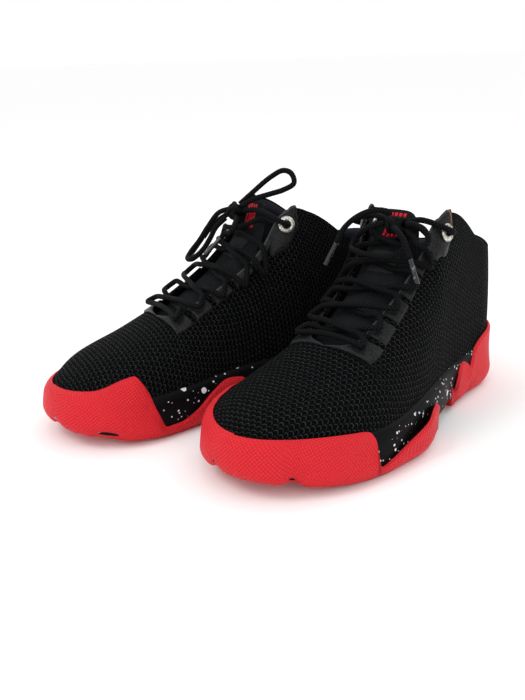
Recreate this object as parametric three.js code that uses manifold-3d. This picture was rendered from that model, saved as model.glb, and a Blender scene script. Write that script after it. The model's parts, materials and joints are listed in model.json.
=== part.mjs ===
import * as THREE from 'three'
import { ParametricGeometry } from 'three/addons/geometries/ParametricGeometry.js'
import { mergeVertices } from 'three/addons/utils/BufferGeometryUtils.js'
import Module from 'manifold-3d'

// A pair of laced basketball shoes with a knitted upper and a cupped rubber outsole.
// Millimetres. In each shoe's own frame +X is the lateral side, +Y the heel, +Z up.

// Overall sizes
const FORM_LENGTH = 287
const BALL_WIDTH = 105
const EAR_HEIGHT = 151
const COLLAR_HEIGHT = 106
const HEEL_HEIGHT = 117

// Layers of the upper, from the outside in
const KNIT_THICKNESS = 1.8
const LAYER_GAP = 0.3
const SHELL_THICKNESS = 1
const PADDING_SWELL = 4.2
const LINING_THICKNESS = 1
const EYESTAY_THICKNESS = 1.6
const TONGUE_THICKNESS = 4
const TONGUE_CLEARANCE = 0.6
const BINDING_HEIGHT = 3

// Sole
const RUBBER_FLOOR = 3.6
const RUBBER_WALL = 2.7
const FOAM_WALL = 5
const TOE_SPRING = 13
const HEEL_SPRING = 3
const FLOOR_HOLE_INSET = 9
const STROBEL_THICKNESS = 1.6
const SOCKLINER_THICKNESS = 4.5
const SHANK_THICKNESS = 1.5
const SHANK_HALF_WIDTH = 16
const AIR_UNIT_LENGTH = 58
const AIR_UNIT_WIDTH = 46
const AIR_UNIT_THICKNESS = 10

// Lacing
const LACE_DIAMETER = 4.2
const EYELET_INSET = 5
const EYELET_ROWS = [-50, -32, -14, 4, 20]
const GROMMET_BORE = 6.2
const GROMMET_FLANGE = 15
const GROMMET_WALL = 0.7
const GROMMET_Y = 41
const GROMMET_Z = 136
const THROAT_FRONT_Y = -57
const TONGUE_FRONT_Y = -72
const TONGUE_JOIN_Y = 24
const TONGUE_TOP_Y = 37
const KEEPER_WIDTH = 26
const AGLET_LENGTH = 18

// Places of the two shoes
const RIGHT_YAW = THREE.MathUtils.degToRad(-21)
const RIGHT_BACK = -19
const PAIR_GAP = 3
const SHOE_SPACING = BALL_WIDTH * 0.69 + (FORM_LENGTH / 2) * Math.sin(-RIGHT_YAW) + PAIR_GAP

const WELD = 1e-4
const ROWS = 18
const AROUND = 14

const wasm = await Module()
wasm.setup()

// A smooth curve through [place, value] points that never overshoots them.
function profile(points, stretch = 1) {
  const xs = points.map((point) => point[0] * stretch)
  const ys = points.map((point) => point[1])
  const rise = xs.slice(1).map((x, i) => (ys[i + 1] - ys[i]) / (x - xs[i]))
  const slope = ys.map((_, i) => {
    if (i === 0 || i === ys.length - 1 || rise[i - 1] * rise[i] <= 0) return 0
    return (2 * rise[i - 1] * rise[i]) / (rise[i - 1] + rise[i])
  })
  return (x) => {
    const at = THREE.MathUtils.clamp(x, xs[0], xs[xs.length - 1])
    let i = 0
    while (i < xs.length - 2 && at > xs[i + 1]) i++
    const h = xs[i + 1] - xs[i]
    const t = (at - xs[i]) / h
    const keep = (1 + 2 * t) * (1 - t) ** 2 * ys[i] + t ** 2 * (3 - 2 * t) * ys[i + 1]
    return keep + t * (1 - t) ** 2 * h * slope[i] + t ** 2 * (t - 1) * h * slope[i + 1]
  }
}

const LONG = FORM_LENGTH / 287
const WIDE = BALL_WIDTH / 105
const TOE_Y = -144 * LONG
const HEEL_Y = TOE_Y + FORM_LENGTH
const MIDDLE_Y = (TOE_Y + HEEL_Y) / 2
const TOE_START_Y = -60 * LONG
const HEEL_START_Y = 100 * LONG

const medialTable = profile([[-144, 45], [-110, 51], [-85, 52], [-60, 49], [-20, 41], [20, 37], [44, 37],
  [64, 35], [105, 34], [143, 34]], LONG)
const lateralTable = profile([[-144, 40], [-110, 48], [-85, 53], [-60, 56], [-20, 52], [20, 44], [44, 39],
  [64, 37], [105, 35], [143, 35]], LONG)
const medial = (y) => WIDE * medialTable(y)
const lateral = (y) => WIDE * lateralTable(y)
const centre = profile([[-144, -8], [-90, -4], [-20, -1], [60, 0], [143, 0]], LONG)
const ridge = profile(
  [[-144, 48], [-120, 54], [-100, 58.5], [-80, 64], [-60, 72], [-40, 82], [-20, 94], [0, 108],
   [20, 129], [40, 169], [60, 200], [80, 207], [143, 210]], LONG)
const widest = profile([[-144, 31], [-60, 31], [20, 35], [80, 42], [143, 46]], LONG)
const footbed = profile([[-144, 24], [-110, 18], [-60, 16], [0, 18], [60, 22], [143, 26]], LONG)
const squareness = profile(
  [[-144, 0.95], [-60, 0.85], [-20, 0.78], [0, 0.7], [20, 0.6], [40, 0.44], [60, 0.42], [143, 0.42]], LONG)

const spanY = (turn, grow) => MIDDLE_Y + (FORM_LENGTH / 2 + grow) * Math.cos(turn)
const turnAt = (y) => Math.acos((y - MIDDLE_Y) / (FORM_LENGTH / 2))

// How far the plan outline has closed in at y: 1 in the middle, 0 at both ends.
function ends(y, grow) {
  const toe = THREE.MathUtils.clamp((TOE_START_Y - y) / (TOE_START_Y - TOE_Y + grow), 0, 1)
  const heel = THREE.MathUtils.clamp((y - HEEL_START_Y) / (HEEL_Y + grow - HEEL_START_Y), 0, 1)
  return Math.sqrt(1 - toe ** 3.6) * Math.sqrt(1 - heel ** 2.4)
}

function toeCap(y, grow) {
  const start = -95 * LONG
  const toe = THREE.MathUtils.clamp((start - y) / (start - TOE_Y + grow), 0, 1)
  return Math.sqrt(1 - toe ** 3)
}

// Above the heel counter the back of the shoe leans forward, towards the ankle.
const lean = (y, z) => -0.0012 * Math.max(0, z - 55) ** 2 * THREE.MathUtils.clamp((y - 40) / 100, 0, 1)

// A point of the foot's form, grown outwards: turn runs heel to toe, angle round the section.
function form(turn, angle, grow = 0) {
  const flatY = spanY(turn, 0)
  const baseZ = widest(flatY) + (ridge(flatY) - widest(flatY)) * Math.max(0, Math.sin(angle))
  const out = typeof grow === 'function' ? grow(flatY, baseZ) : grow
  const y = spanY(turn, out)
  const c = Math.cos(angle)
  const s = Math.sin(angle)
  const half = (c >= 0 ? lateral(y) + out : medial(y) + out) * ends(y, out)
  const square = s >= 0 ? squareness(y) : 0.4
  const x = centre(y) + half * Math.sign(c) * Math.abs(c) ** square
  const up = (ridge(y) + out - widest(y)) * toeCap(y, out)
  const down = widest(y) - footbed(y) + out
  const z = widest(y) + (s >= 0 ? up * s : -down * Math.abs(s) ** 0.6)
  return new THREE.Vector3(x, y + lean(y, z), z)
}

function outward(turn, angle) {
  const step = 0.01
  const along = form(turn + step, angle).sub(form(turn - step, angle))
  const round = form(turn, angle + step).sub(form(turn, angle - step))
  return along.cross(round).normalize().negate()
}

// Welds a geometry's corners, drops collapsed triangles and turns its faces outwards.
function weld(source) {
  const loose = source.index ? source.toNonIndexed() : source.clone()
  loose.deleteAttribute('normal')
  loose.deleteAttribute('uv')
  const welded = mergeVertices(loose, WELD)
  const place = welded.attributes.position
  const corner = [0, 1, 2].map(() => new THREE.Vector3())
  const index = welded.index.array
  let triangles = []
  let volume = 0
  for (let i = 0; i < index.length; i += 3) {
    const [a, b, c] = [index[i], index[i + 1], index[i + 2]]
    if (a === b || b === c || c === a) continue
    corner[0].fromBufferAttribute(place, a)
    corner[1].fromBufferAttribute(place, b)
    corner[2].fromBufferAttribute(place, c)
    volume += corner[0].dot(corner[1].cross(corner[2]))
    triangles.push([a, b, c])
  }
  if (volume < 0) triangles = triangles.map(([a, b, c]) => [a, c, b])
  welded.setIndex(triangles.flat())
  return welded
}

function solid(geometry) {
  const welded = weld(geometry)
  const vertProperties = new Float32Array(welded.attributes.position.array)
  const triVerts = new Uint32Array(welded.index.array)
  return new wasm.Manifold(new wasm.Mesh({ numProp: 3, vertProperties, triVerts }))
}

// The largest body of a cut, as a geometry.
function body(cut) {
  const pieces = cut.decompose().sort((a, b) => b.volume() - a.volume())
  const mesh = pieces[0].getMesh()
  const geometry = new THREE.BufferGeometry()
  geometry.setAttribute('position', new THREE.BufferAttribute(new Float32Array(mesh.vertProperties), 3))
  geometry.setIndex([...mesh.triVerts])
  return geometry
}

// A closed surface whose rings shrink to a line at both ends.
function pod(point, rows, around) {
  const surface = (u, v, target) => {
    const angle = 2 * Math.PI * (Math.round(u * around) % around) / around
    target.copy(point(Math.PI * v, angle))
  }
  return new ParametricGeometry(surface, around, rows)
}

const formSolid = (grow) => solid(pod((turn, angle) => form(turn, angle, grow), ROWS, AROUND))

// A closed sheet between two surfaces of t along it and s across it.
function slab(outer, inner, steps, across) {
  const columns = 2 * across + 2
  const surface = (u, v, target) => {
    const row = Math.round(v * (steps + 2)) - 1
    const t = THREE.MathUtils.clamp(row / steps, 0, 1)
    const column = Math.round(u * columns) % columns
    const top = column <= across
    const s = top ? column / across : (columns - 1 - column) / across
    if (row < 0 || row > steps) target.addVectors(outer(t, s), inner(t, s)).multiplyScalar(0.5)
    else target.copy(top ? outer(t, s) : inner(t, s))
  }
  return new ParametricGeometry(surface, columns, steps + 2)
}

function upright(points, low, high) {
  const shape = new THREE.Shape(points.map(([x, y]) => new THREE.Vector2(x, y)))
  const geometry = new THREE.ExtrudeGeometry(shape, { depth: high - low, bevelEnabled: false })
  return solid(geometry.translate(0, 0, low))
}

// A side profile of [y, z] points carried across the shoe from x = from to x = to.
function sideways(points, from = -90, to = 90) {
  const shape = new THREE.Shape(points.map(([y, z]) => new THREE.Vector2(y, z)))
  const geometry = new THREE.ExtrudeGeometry(shape, { depth: to - from, bevelEnabled: false })
  const across = new THREE.Vector3(1, 0, 0)
  const turned = new THREE.Matrix4().makeBasis(
    new THREE.Vector3(0, 1, 0), new THREE.Vector3(0, 0, 1), across)
  return solid(geometry.applyMatrix4(turned).translate(from, 0, 0))
}

function range(from, to, steps, value) {
  return Array.from({ length: steps + 1 }, (_, i) => {
    const y = THREE.MathUtils.lerp(from, to, i / steps)
    return [y, value(y)]
  })
}

// --- openings of the upper ---

const throatHalf = profile([[-60, 19], [0, 23], [20, 25], [44, 29], [70, 30]])
const THROAT_ROUND = 14
function throatEdge(y) {
  const t = THREE.MathUtils.clamp((THROAT_FRONT_Y + THROAT_ROUND - y) / THROAT_ROUND, 0, 1)
  return throatHalf(y) * Math.sqrt(1 - t ** 2)
}

function throatCutter() {
  const half = [...range(THROAT_FRONT_Y, THROAT_FRONT_Y + THROAT_ROUND, 6, throatEdge),
    ...range(THROAT_FRONT_Y + THROAT_ROUND + 8, 70, 8, throatEdge)]
  const right = half.map(([y, x]) => [x, y])
  const left = half.slice(1).reverse().map(([y, x]) => [-x, y])
  return upright([...right, ...left], 45, 260)
}

const EAR_Y = 44
const COLLAR_FRONT_Y = 36
const collarLine = profile([[COLLAR_FRONT_Y, EAR_HEIGHT - 2], [EAR_Y, EAR_HEIGHT], [52, EAR_HEIGHT - 4],
  [60, EAR_HEIGHT - 12], [80, COLLAR_HEIGHT + 13], [100, COLLAR_HEIGHT + 1.5], [114, COLLAR_HEIGHT],
  [128, COLLAR_HEIGHT + 3.5], [143, HEEL_HEIGHT], [155, HEEL_HEIGHT + 1]])
const BACK_Y = HEEL_Y + 20

function aboveCollar(lift) {
  const line = range(COLLAR_FRONT_Y, BACK_Y, 12, (y) => collarLine(y) + lift)
  return sideways([...line, [BACK_Y, 280], [COLLAR_FRONT_Y, 280]])
}

function outline(inset, count = 18) {
  return Array.from({ length: count }, (_, i) => {
    const turn = (2 * Math.PI * (i + 0.5)) / count
    const y = spanY(turn, -inset)
    const half = (Math.sin(turn) > 0 ? lateral(y) - inset : inset - medial(y)) * ends(y, -inset)
    return [centre(y) + half, y]
  })
}

// --- layers of the upper ---

const swell = (y, z) => THREE.MathUtils.smoothstep(y, 46, 60) * THREE.MathUtils.smoothstep(z, 66, 80)
const CORE_DEPTH = KNIT_THICKNESS + LAYER_GAP
const LINING_DEPTH = CORE_DEPTH + SHELL_THICKNESS + LAYER_GAP
const INSIDE_DEPTH = LINING_DEPTH + LINING_THICKNESS
const liningOutside = (y, z) => -LINING_DEPTH - PADDING_SWELL * swell(y, z)
const liningInside = (y, z) => -INSIDE_DEPTH - PADDING_SWELL * swell(y, z)
const paddingInside = (y, z) => -CORE_DEPTH - SHELL_THICKNESS - PADDING_SWELL * swell(y, z)

const throat = throatCutter()
const collarCut = aboveCollar(0)
const floorHole = upright(outline(FLOOR_HOLE_INSET), 0, 34)
const outerForm = formSolid(0)
const coreForm = formSolid(-CORE_DEPTH)
const coreInside = formSolid(-CORE_DEPTH - SHELL_THICKNESS)

// The place and direction of a grommet: side is 1 on the lateral ear, -1 on the medial one.
function grommetSeat(side) {
  const turn = turnAt(GROMMET_Y)
  const low = widest(GROMMET_Y)
  const angle = Math.asin((GROMMET_Z - low) / (ridge(GROMMET_Y) - low))
  const round = side > 0 ? angle : Math.PI - angle
  const at = form(turn, round)
  const facing = outward(turn, round)
  const rotation = new THREE.Quaternion().setFromUnitVectors(new THREE.Vector3(0, 1, 0), facing)
  return { at, facing, matrix: new THREE.Matrix4().compose(at, rotation, new THREE.Vector3(1, 1, 1)) }
}

function lathe(points, segments) {
  return new THREE.LatheGeometry(points.map(([r, h]) => new THREE.Vector2(r, h)), segments)
}

const FLANGE_HIGH = LAYER_GAP + EYESTAY_THICKNESS + LAYER_GAP
const FLANGE_LOW = -INSIDE_DEPTH - 0.9
const GROMMET_OUT = GROMMET_BORE / 2 + GROMMET_WALL
const BACK_FLANGE = GROMMET_FLANGE / 2 - 1.2

function grommet(side) {
  const hole = GROMMET_BORE / 2
  const rim = GROMMET_FLANGE / 2
  const points = [[hole, FLANGE_LOW - 0.7], [BACK_FLANGE, FLANGE_LOW - 0.7], [BACK_FLANGE, FLANGE_LOW],
    [GROMMET_OUT, FLANGE_LOW], [GROMMET_OUT, FLANGE_HIGH], [rim, FLANGE_HIGH],
    [rim - 0.2, FLANGE_HIGH + 0.7], [rim - 2, FLANGE_HIGH + 1.1], [hole + 0.6, FLANGE_HIGH + 0.9],
    [hole, FLANGE_HIGH + 0.3],
    [hole, FLANGE_LOW - 0.7]]
  return lathe(points, 10).applyMatrix4(grommetSeat(side).matrix)
}

// The room that a grommet needs in the layers it clamps.
function grommetRoom(side) {
  const barrel = GROMMET_OUT + LAYER_GAP
  const rim = GROMMET_FLANGE / 2 + LAYER_GAP
  const points = [[0, FLANGE_LOW - 1], [rim - 1.2, FLANGE_LOW - 1], [rim - 1.2, FLANGE_LOW + LAYER_GAP],
    [barrel, FLANGE_LOW + LAYER_GAP], [barrel, FLANGE_HIGH - LAYER_GAP], [rim, FLANGE_HIGH - LAYER_GAP],
    [rim, FLANGE_HIGH + 3], [0, FLANGE_HIGH + 3]]
  return solid(lathe(points, 10).applyMatrix4(grommetSeat(side).matrix))
}

const grommetHoles = grommetRoom(1).add(grommetRoom(-1))
const openings = throat.add(collarCut).add(floorHole).add(grommetHoles)

const upper = () => body(outerForm.subtract(formSolid(-KNIT_THICKNESS)).subtract(openings))

// The lining runs from the lacing back round the heel; the knit of the forefoot has none.
const LINING_FRONT_Y = -40
function lining() {
  const back = sideways([[LINING_FRONT_Y, -10], [BACK_Y, -10], [BACK_Y, 280], [LINING_FRONT_Y + 30, 280]])
  return body(formSolid(liningOutside).subtract(formSolid(liningInside)).subtract(openings).intersect(back))
}

function toeStiffener() {
  const front = sideways([[-200, 30], [-98, 30], [-102, 90], [-200, 90]])
  return body(coreForm.subtract(coreInside).intersect(front))
}

function heelCounter() {
  const back = sideways([[74, 33], [200, 33], [200, 70], [128, 68], [96, 56], [76, 40]])
  return body(coreForm.subtract(coreInside).intersect(back))
}

function collarPadding() {
  const top = range(58, BACK_Y, 10, (y) => collarLine(y) - 0.8)
  const zone = sideways([[58, 76], ...top, [BACK_Y, 76]].reverse())
  return body(coreForm.subtract(formSolid(paddingInside)).intersect(zone))
}

function collarBinding() {
  const inside = (y, z) => liningInside(y, z) - 0.3
  const band = aboveCollar(LAYER_GAP).subtract(aboveCollar(LAYER_GAP + BINDING_HEIGHT))
  const front = sideways([[COLLAR_FRONT_Y - 2, 0], [COLLAR_FRONT_Y + 4, 0], [COLLAR_FRONT_Y + 4, 280],
    [COLLAR_FRONT_Y - 2, 280]])
  return body(formSolid(0.7).subtract(formSolid(inside)).intersect(band).subtract(throat).subtract(front))
}

const angleAtX = (y, x, width) => Math.acos(Math.min(1, (x / width) ** (1 / squareness(y))))
const sideAngle = (angle, side) => (side > 0 ? angle : Math.PI - angle)

// The angle round the section at which a point lies x from the middle on one side.
function edgeAngle(y, x, side) {
  const width = side > 0 ? lateral(y) : medial(y)
  return sideAngle(angleAtX(y, Math.max(0, x - side * centre(y)), width), side)
}

const stayDrop = profile([[-60, 5], [-40, 8], [0, 12], [20, 15], [34, 24], [41, 30], [50, 20]])
const STAY_FRONT_Y = THROAT_FRONT_Y + 2
const STAY_BACK_Y = 50
const TAB_DEPTH = 5

// A facing that carries the eyelets, with one tab below each lace loop.
function eyestay(side) {
  const point = (grow) => (t, s) => {
    const y = THREE.MathUtils.lerp(STAY_FRONT_Y, STAY_BACK_Y, t)
    const top = sideAngle(edgeAngle(y, throatHalf(y) + 0.4, side), side)
    const low = widest(y)
    const span = ridge(y) - low
    const pitch = EYELET_ROWS[1] - EYELET_ROWS[0]
    const tab = y < 28 ? TAB_DEPTH * Math.cos((Math.PI * (y - EYELET_ROWS[0])) / pitch) ** 2 : 0
    const bottom = Math.asin(Math.max(0, Math.sin(top) - (stayDrop(y) + tab) / span))
    return form(turnAt(y), sideAngle(THREE.MathUtils.lerp(top, bottom, s), side), grow)
  }
  const sheet = solid(slab(point(LAYER_GAP + EYESTAY_THICKNESS), point(-1.2), 15, 2))
  return body(sheet.subtract(formSolid(LAYER_GAP)).subtract(collarCut).subtract(grommetHoles))
}

// --- tongue ---

const tongueHalf = profile([[-72, 16], [-40, 24], [0, 27], [18, 27], [24, 20.5], [40, 19]])
const TONGUE_OUT = -INSIDE_DEPTH - TONGUE_CLEARANCE

function tonguePlate(fromY, toY, high, low, steps, half = tongueHalf) {
  const point = (grow) => (t, s) => {
    const y = THREE.MathUtils.lerp(fromY, toY, t)
    const right = edgeAngle(y, half(y), 1)
    const left = edgeAngle(y, half(y), -1)
    return form(turnAt(y), THREE.MathUtils.lerp(left, right, s), grow)
  }
  return slab(point(high), point(low), steps, 4)
}

function tongue() {
  const plate = solid(tonguePlate(TONGUE_FRONT_Y, TONGUE_JOIN_Y - 0.3, TONGUE_OUT + 2,
    TONGUE_OUT - TONGUE_THICKNESS, 7))
  return body(plate.intersect(formSolid(TONGUE_OUT)))
}

function tongueTop() {
  const plate = solid(tonguePlate(TONGUE_JOIN_Y, TONGUE_TOP_Y, TONGUE_OUT + 2,
    TONGUE_OUT - TONGUE_THICKNESS * 1.6, 4))
  return body(plate.intersect(formSolid(TONGUE_OUT)))
}

function laceKeeper() {
  const half = () => KEEPER_WIDTH / 2
  const plate = solid(tonguePlate(8, 19, TONGUE_OUT + 1.5, TONGUE_OUT - 2, 4, half))
  return body(plate.subtract(formSolid(TONGUE_OUT + LAYER_GAP)))
}

// --- sole ---

const TOE_ROLL_Y = -60 * LONG
const HEEL_ROLL_Y = 118 * LONG
function ground(y) {
  const toe = Math.max(0, (TOE_ROLL_Y - y) / (TOE_ROLL_Y - TOE_Y + 8))
  const heel = Math.max(0, (y - HEEL_ROLL_Y) / (HEEL_Y + 8 - HEEL_ROLL_Y))
  return TOE_SPRING * toe ** 2 + HEEL_SPRING * heel ** 2
}
const archLift = profile([[-20, 0], [12, 6], [40, 6], [62, 0]], LONG)
const biteLine = profile([[-150, 33], [-110, 32], [-60, 32], [0, 35], [60, 38], [150, 43]], LONG)

// A boxy closed body that follows the shoe's outline, between a bottom line and a top line.
function soleBody(grow, bottom, top, corner) {
  const point = (turn, angle) => {
    const y = spanY(turn, grow)
    const close = ends(y, grow)
    const right = (lateral(y) + grow) * close
    const left = (medial(y) + grow) * close
    const low = bottom(y)
    const high = top(y)
    const cut = Math.min(corner, right / 2, left / 2)
    const corners = [[right, low + cut], [right, high - cut], [right - cut, high], [cut - left, high],
      [-left, high - cut], [-left, low + cut], [cut - left, low], [right - cut, low]]
    const [x, z] = corners[Math.round((angle * 8) / (2 * Math.PI)) % 8]
    return new THREE.Vector3(centre(y) + x, y, z)
  }
  return solid(pod(point, ROWS, 8))
}

const foamFloor = (y) => ground(y) + RUBBER_FLOOR + LAYER_GAP + archLift(y)
const shankTop = (y) => footbed(y) - 0.6
const SHANK_FROM_Y = -4
const SHANK_TO_Y = 62

function shank(room = 0) {
  const point = (height) => (t, s) => {
    const y = THREE.MathUtils.lerp(SHANK_FROM_Y - room, SHANK_TO_Y + room, t)
    const half = SHANK_HALF_WIDTH + room
    return new THREE.Vector3(centre(y) + THREE.MathUtils.lerp(-half, half, s), y, height(y))
  }
  const top = room > 0 ? (y) => footbed(y) + 8 : shankTop
  return slab(point(top), point((y) => shankTop(y) - SHANK_THICKNESS - room), 6, 2)
}

const AIR_Y = 101
function airUnit(room = 0) {
  const ellipse = new THREE.EllipseCurve(0, AIR_Y, AIR_UNIT_WIDTH / 2 + room, AIR_UNIT_LENGTH / 2 + room)
  const shape = new THREE.Shape(ellipse.getPoints(16).slice(0, -1))
  const high = footbed(AIR_Y - AIR_UNIT_LENGTH / 2) - 0.6
  const depth = room > 0 ? AIR_UNIT_THICKNESS + room + 20 : AIR_UNIT_THICKNESS
  const geometry = new THREE.ExtrudeGeometry(shape, { depth, bevelEnabled: false })
  return geometry.translate(0, 0, high - AIR_UNIT_THICKNESS - room)
}

function midsole() {
  const foam = soleBody(FOAM_WALL, foamFloor, biteLine, 2)
  const pockets = solid(shank(LAYER_GAP)).add(solid(airUnit(LAYER_GAP)))
  return body(foam.subtract(formSolid(LAYER_GAP)).subtract(pockets))
}

const OUTSOLE_GROW = FOAM_WALL + LAYER_GAP + RUBBER_WALL
const lateralFront = profile([[-160, 39], [-120, 37], [-96, 34.5], [-88, 31], [-83, 22], [-79, 10],
  [-74, 8], [-66, 9], [-50, 13], [-30, 22], [-12, 31], [-4, 31], [1, 24], [5, 10]], LONG)
const medialFront = profile([[-160, 39], [-120, 37], [-96, 34.5], [-86, 31], [-80, 22], [-75, 10],
  [-68, 9], [-52, 14], [-36, 24], [-20, 29], [-8, 27], [0, 16], [5, 10]], LONG)
const sideBack = profile([[48, 6], [54, 14], [62, 24], [70, 27], [76, 22], [80, 10], [84, 10],
  [90, 26], [98, 38], [108, 43], [130, 47], [160, 49]], LONG)
const FRONT_END_Y = 5 * LONG
const BACK_START_Y = 48 * LONG

function wallProfile(from, to, top, low, high) {
  const line = range(from, to, 30, (y) => Math.max(top(y), ground(y) + RUBBER_FLOOR + 1.6))
  return sideways([...line, [to, -20], [from, -20]].reverse(), low, high)
}

const SEAM_X = -4
function outsole(front) {
  const cup = soleBody(OUTSOLE_GROW, ground, () => 60, 2)
  const foamRoom = soleBody(FOAM_WALL + LAYER_GAP, (y) => ground(y) + RUBBER_FLOOR, () => 90, 2)
  const from = front ? TOE_Y - 20 : BACK_START_Y
  const to = front ? FRONT_END_Y : BACK_Y
  const right = wallProfile(from, to, front ? lateralFront : sideBack, SEAM_X, 90)
  const left = wallProfile(from, to, front ? medialFront : sideBack, -90, SEAM_X)
  return body(cup.intersect(right.add(left)).subtract(foamRoom).subtract(formSolid(0.6)))
}

// The boards lie in the floor hole of the upper, on the form's underside.
const FOOT_GAP = -0.1
const STROBEL_TOP = FOOT_GAP - STROBEL_THICKNESS
const SOCKLINER_BASE = STROBEL_TOP - LAYER_GAP
const boardOutline = upright(outline(FLOOR_HOLE_INSET + 0.4), 0, 34)
const footLayer = (below, above) =>
  body(formSolid(below).subtract(formSolid(above)).intersect(boardOutline))
const strobelBoard = () => footLayer(FOOT_GAP, STROBEL_TOP)
const sockliner = () => footLayer(SOCKLINER_BASE, SOCKLINER_BASE - SOCKLINER_THICKNESS)

// --- laces ---

function cord(points, diameter, sides, spacing) {
  const curve = new THREE.CatmullRomCurve3(points, false, 'centripetal')
  const steps = Math.max(4, Math.round(curve.getLength() / spacing))
  const circle = new THREE.Shape()
  for (let i = 0; i < sides; i++) {
    const angle = (2 * Math.PI * (i + 0.5)) / sides
    const radius = diameter / 2
    if (i === 0) circle.moveTo(radius * Math.cos(angle), radius * Math.sin(angle))
    else circle.lineTo(radius * Math.cos(angle), radius * Math.sin(angle))
  }
  circle.closePath()
  return new THREE.ExtrudeGeometry(circle, { steps, extrudePath: curve, bevelEnabled: false })
}

// A lace point at height above the surface that lies at grow, x from the middle.
function onShoe(y, x, grow, height) {
  const side = x < 0 ? -1 : 1
  const angle = edgeAngle(y, Math.abs(x), side)
  const turn = turnAt(y)
  return form(turn, angle, grow).addScaledVector(outward(turn, angle), height)
}

const LACE_RADIUS = LACE_DIAMETER / 2
const STAY_TOP = LAYER_GAP + EYESTAY_THICKNESS
const STAY_LIFT = LACE_RADIUS + 2

function eyeletTurn(y, side) {
  const x = side * (throatHalf(y) + EYELET_INSET)
  return [onShoe(y - 2.4, x * 0.97, STAY_TOP, STAY_LIFT), onShoe(y, x * 1.03, STAY_TOP, STAY_LIFT),
    onShoe(y + 2.4, x * 0.97, STAY_TOP, STAY_LIFT)]
}

// The points of a lace that crosses the tongue from one side to the other, rising rise above it.
function crossing(from, to, side, rise) {
  const at = (t) => THREE.MathUtils.lerp(from, to, t)
  const edge = (y) => throatHalf(y) + 0.5
  return [onShoe(at(0.24), side * edge(at(0.24)), STAY_TOP, STAY_LIFT - 0.4),
    onShoe(at(0.36), side * edge(at(0.36)) * 0.55, TONGUE_OUT, rise + 1),
    onShoe(at(0.5), 0, TONGUE_OUT, rise),
    onShoe(at(0.64), -side * edge(at(0.64)) * 0.55, TONGUE_OUT, rise + 1),
    onShoe(at(0.76), -side * edge(at(0.76)), STAY_TOP, STAY_LIFT - 0.4)]
}

const riseOf = (over) => LACE_RADIUS + 1.1 + (over ? LACE_DIAMETER + 0.7 : 0)

// One strand, from its first eyelet up to the highest row, over or under its partner.
function strand(firstSide, over) {
  const points = []
  EYELET_ROWS.forEach((y, row) => {
    const side = row % 2 === 0 ? firstSide : -firstSide
    const turn = eyeletTurn(y, side)
    points.push(...(row === 0 ? turn.slice(1) : turn))
    const next = EYELET_ROWS[row + 1]
    if (next !== undefined) points.push(...crossing(y + 2.4, next - 2.4, side, riseOf(over)))
  })
  return points
}

const KNOT = new THREE.Vector3(7, 19, 142.5)
const KNOT_SIZE = new THREE.Vector3(8, 6, 6.5)

// From the last crossing, in beside the tongue, out through the grommet and on to the knot.
function topRun(side, over) {
  const seat = grommetSeat(side)
  const through = [-10.5, -5, 0, 7.5].map((depth) => seat.at.clone().addScaledVector(seat.facing, depth))
  const bend = seat.at.clone().addScaledVector(seat.facing, 10).add(new THREE.Vector3(-side * 2.6, -4.4, 1.8))
  const rise = riseOf(over)
  const edge = -side * (throatHalf(22.4) + 0.5)
  const cross = [onShoe(22.4, edge, STAY_TOP, STAY_LIFT),
    onShoe(22.6, -side * 14, TONGUE_OUT, rise + 1.6), onShoe(23.6, 0, TONGUE_OUT, rise),
    onShoe(26, side * 12, TONGUE_OUT, rise + 0.4), onShoe(31, side * 20, TONGUE_OUT, 3.4)]
  const dive = new THREE.Vector3(side * 22.5, 40.5, 132)
  const last = new THREE.Vector3(KNOT.x * 0.5 + side * 18.5, 25.5, 146.5)
  const stop = new THREE.Vector3(KNOT.x + side * (KNOT_SIZE.x + 0.7), KNOT.y + 2.5, KNOT.z + 1)
  return [...cross, dive, ...through, bend, last, stop]
}

function lace() {
  const over = strand(1, true)
  const under = strand(-1, false)
  const lastRow = EYELET_ROWS.length - 1
  const overSide = lastRow % 2 === 0 ? -1 : 1
  const bar = [14, 0, -14].map((x) => onShoe(EYELET_ROWS[0], x, 0, LACE_RADIUS + 1.3))
  const route = [...topRun(overSide, true).reverse(), ...over.reverse(), ...bar, ...under,
    ...topRun(-overSide, false)]
  return cord(route, LACE_DIAMETER, 6, LACE_DIAMETER * 2.3)
}

function knot() {
  const lump = new THREE.SphereGeometry(1, 10, 6)
  return lump.scale(KNOT_SIZE.x, KNOT_SIZE.y, KNOT_SIZE.z).translate(KNOT.x, KNOT.y, KNOT.z)
}

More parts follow.
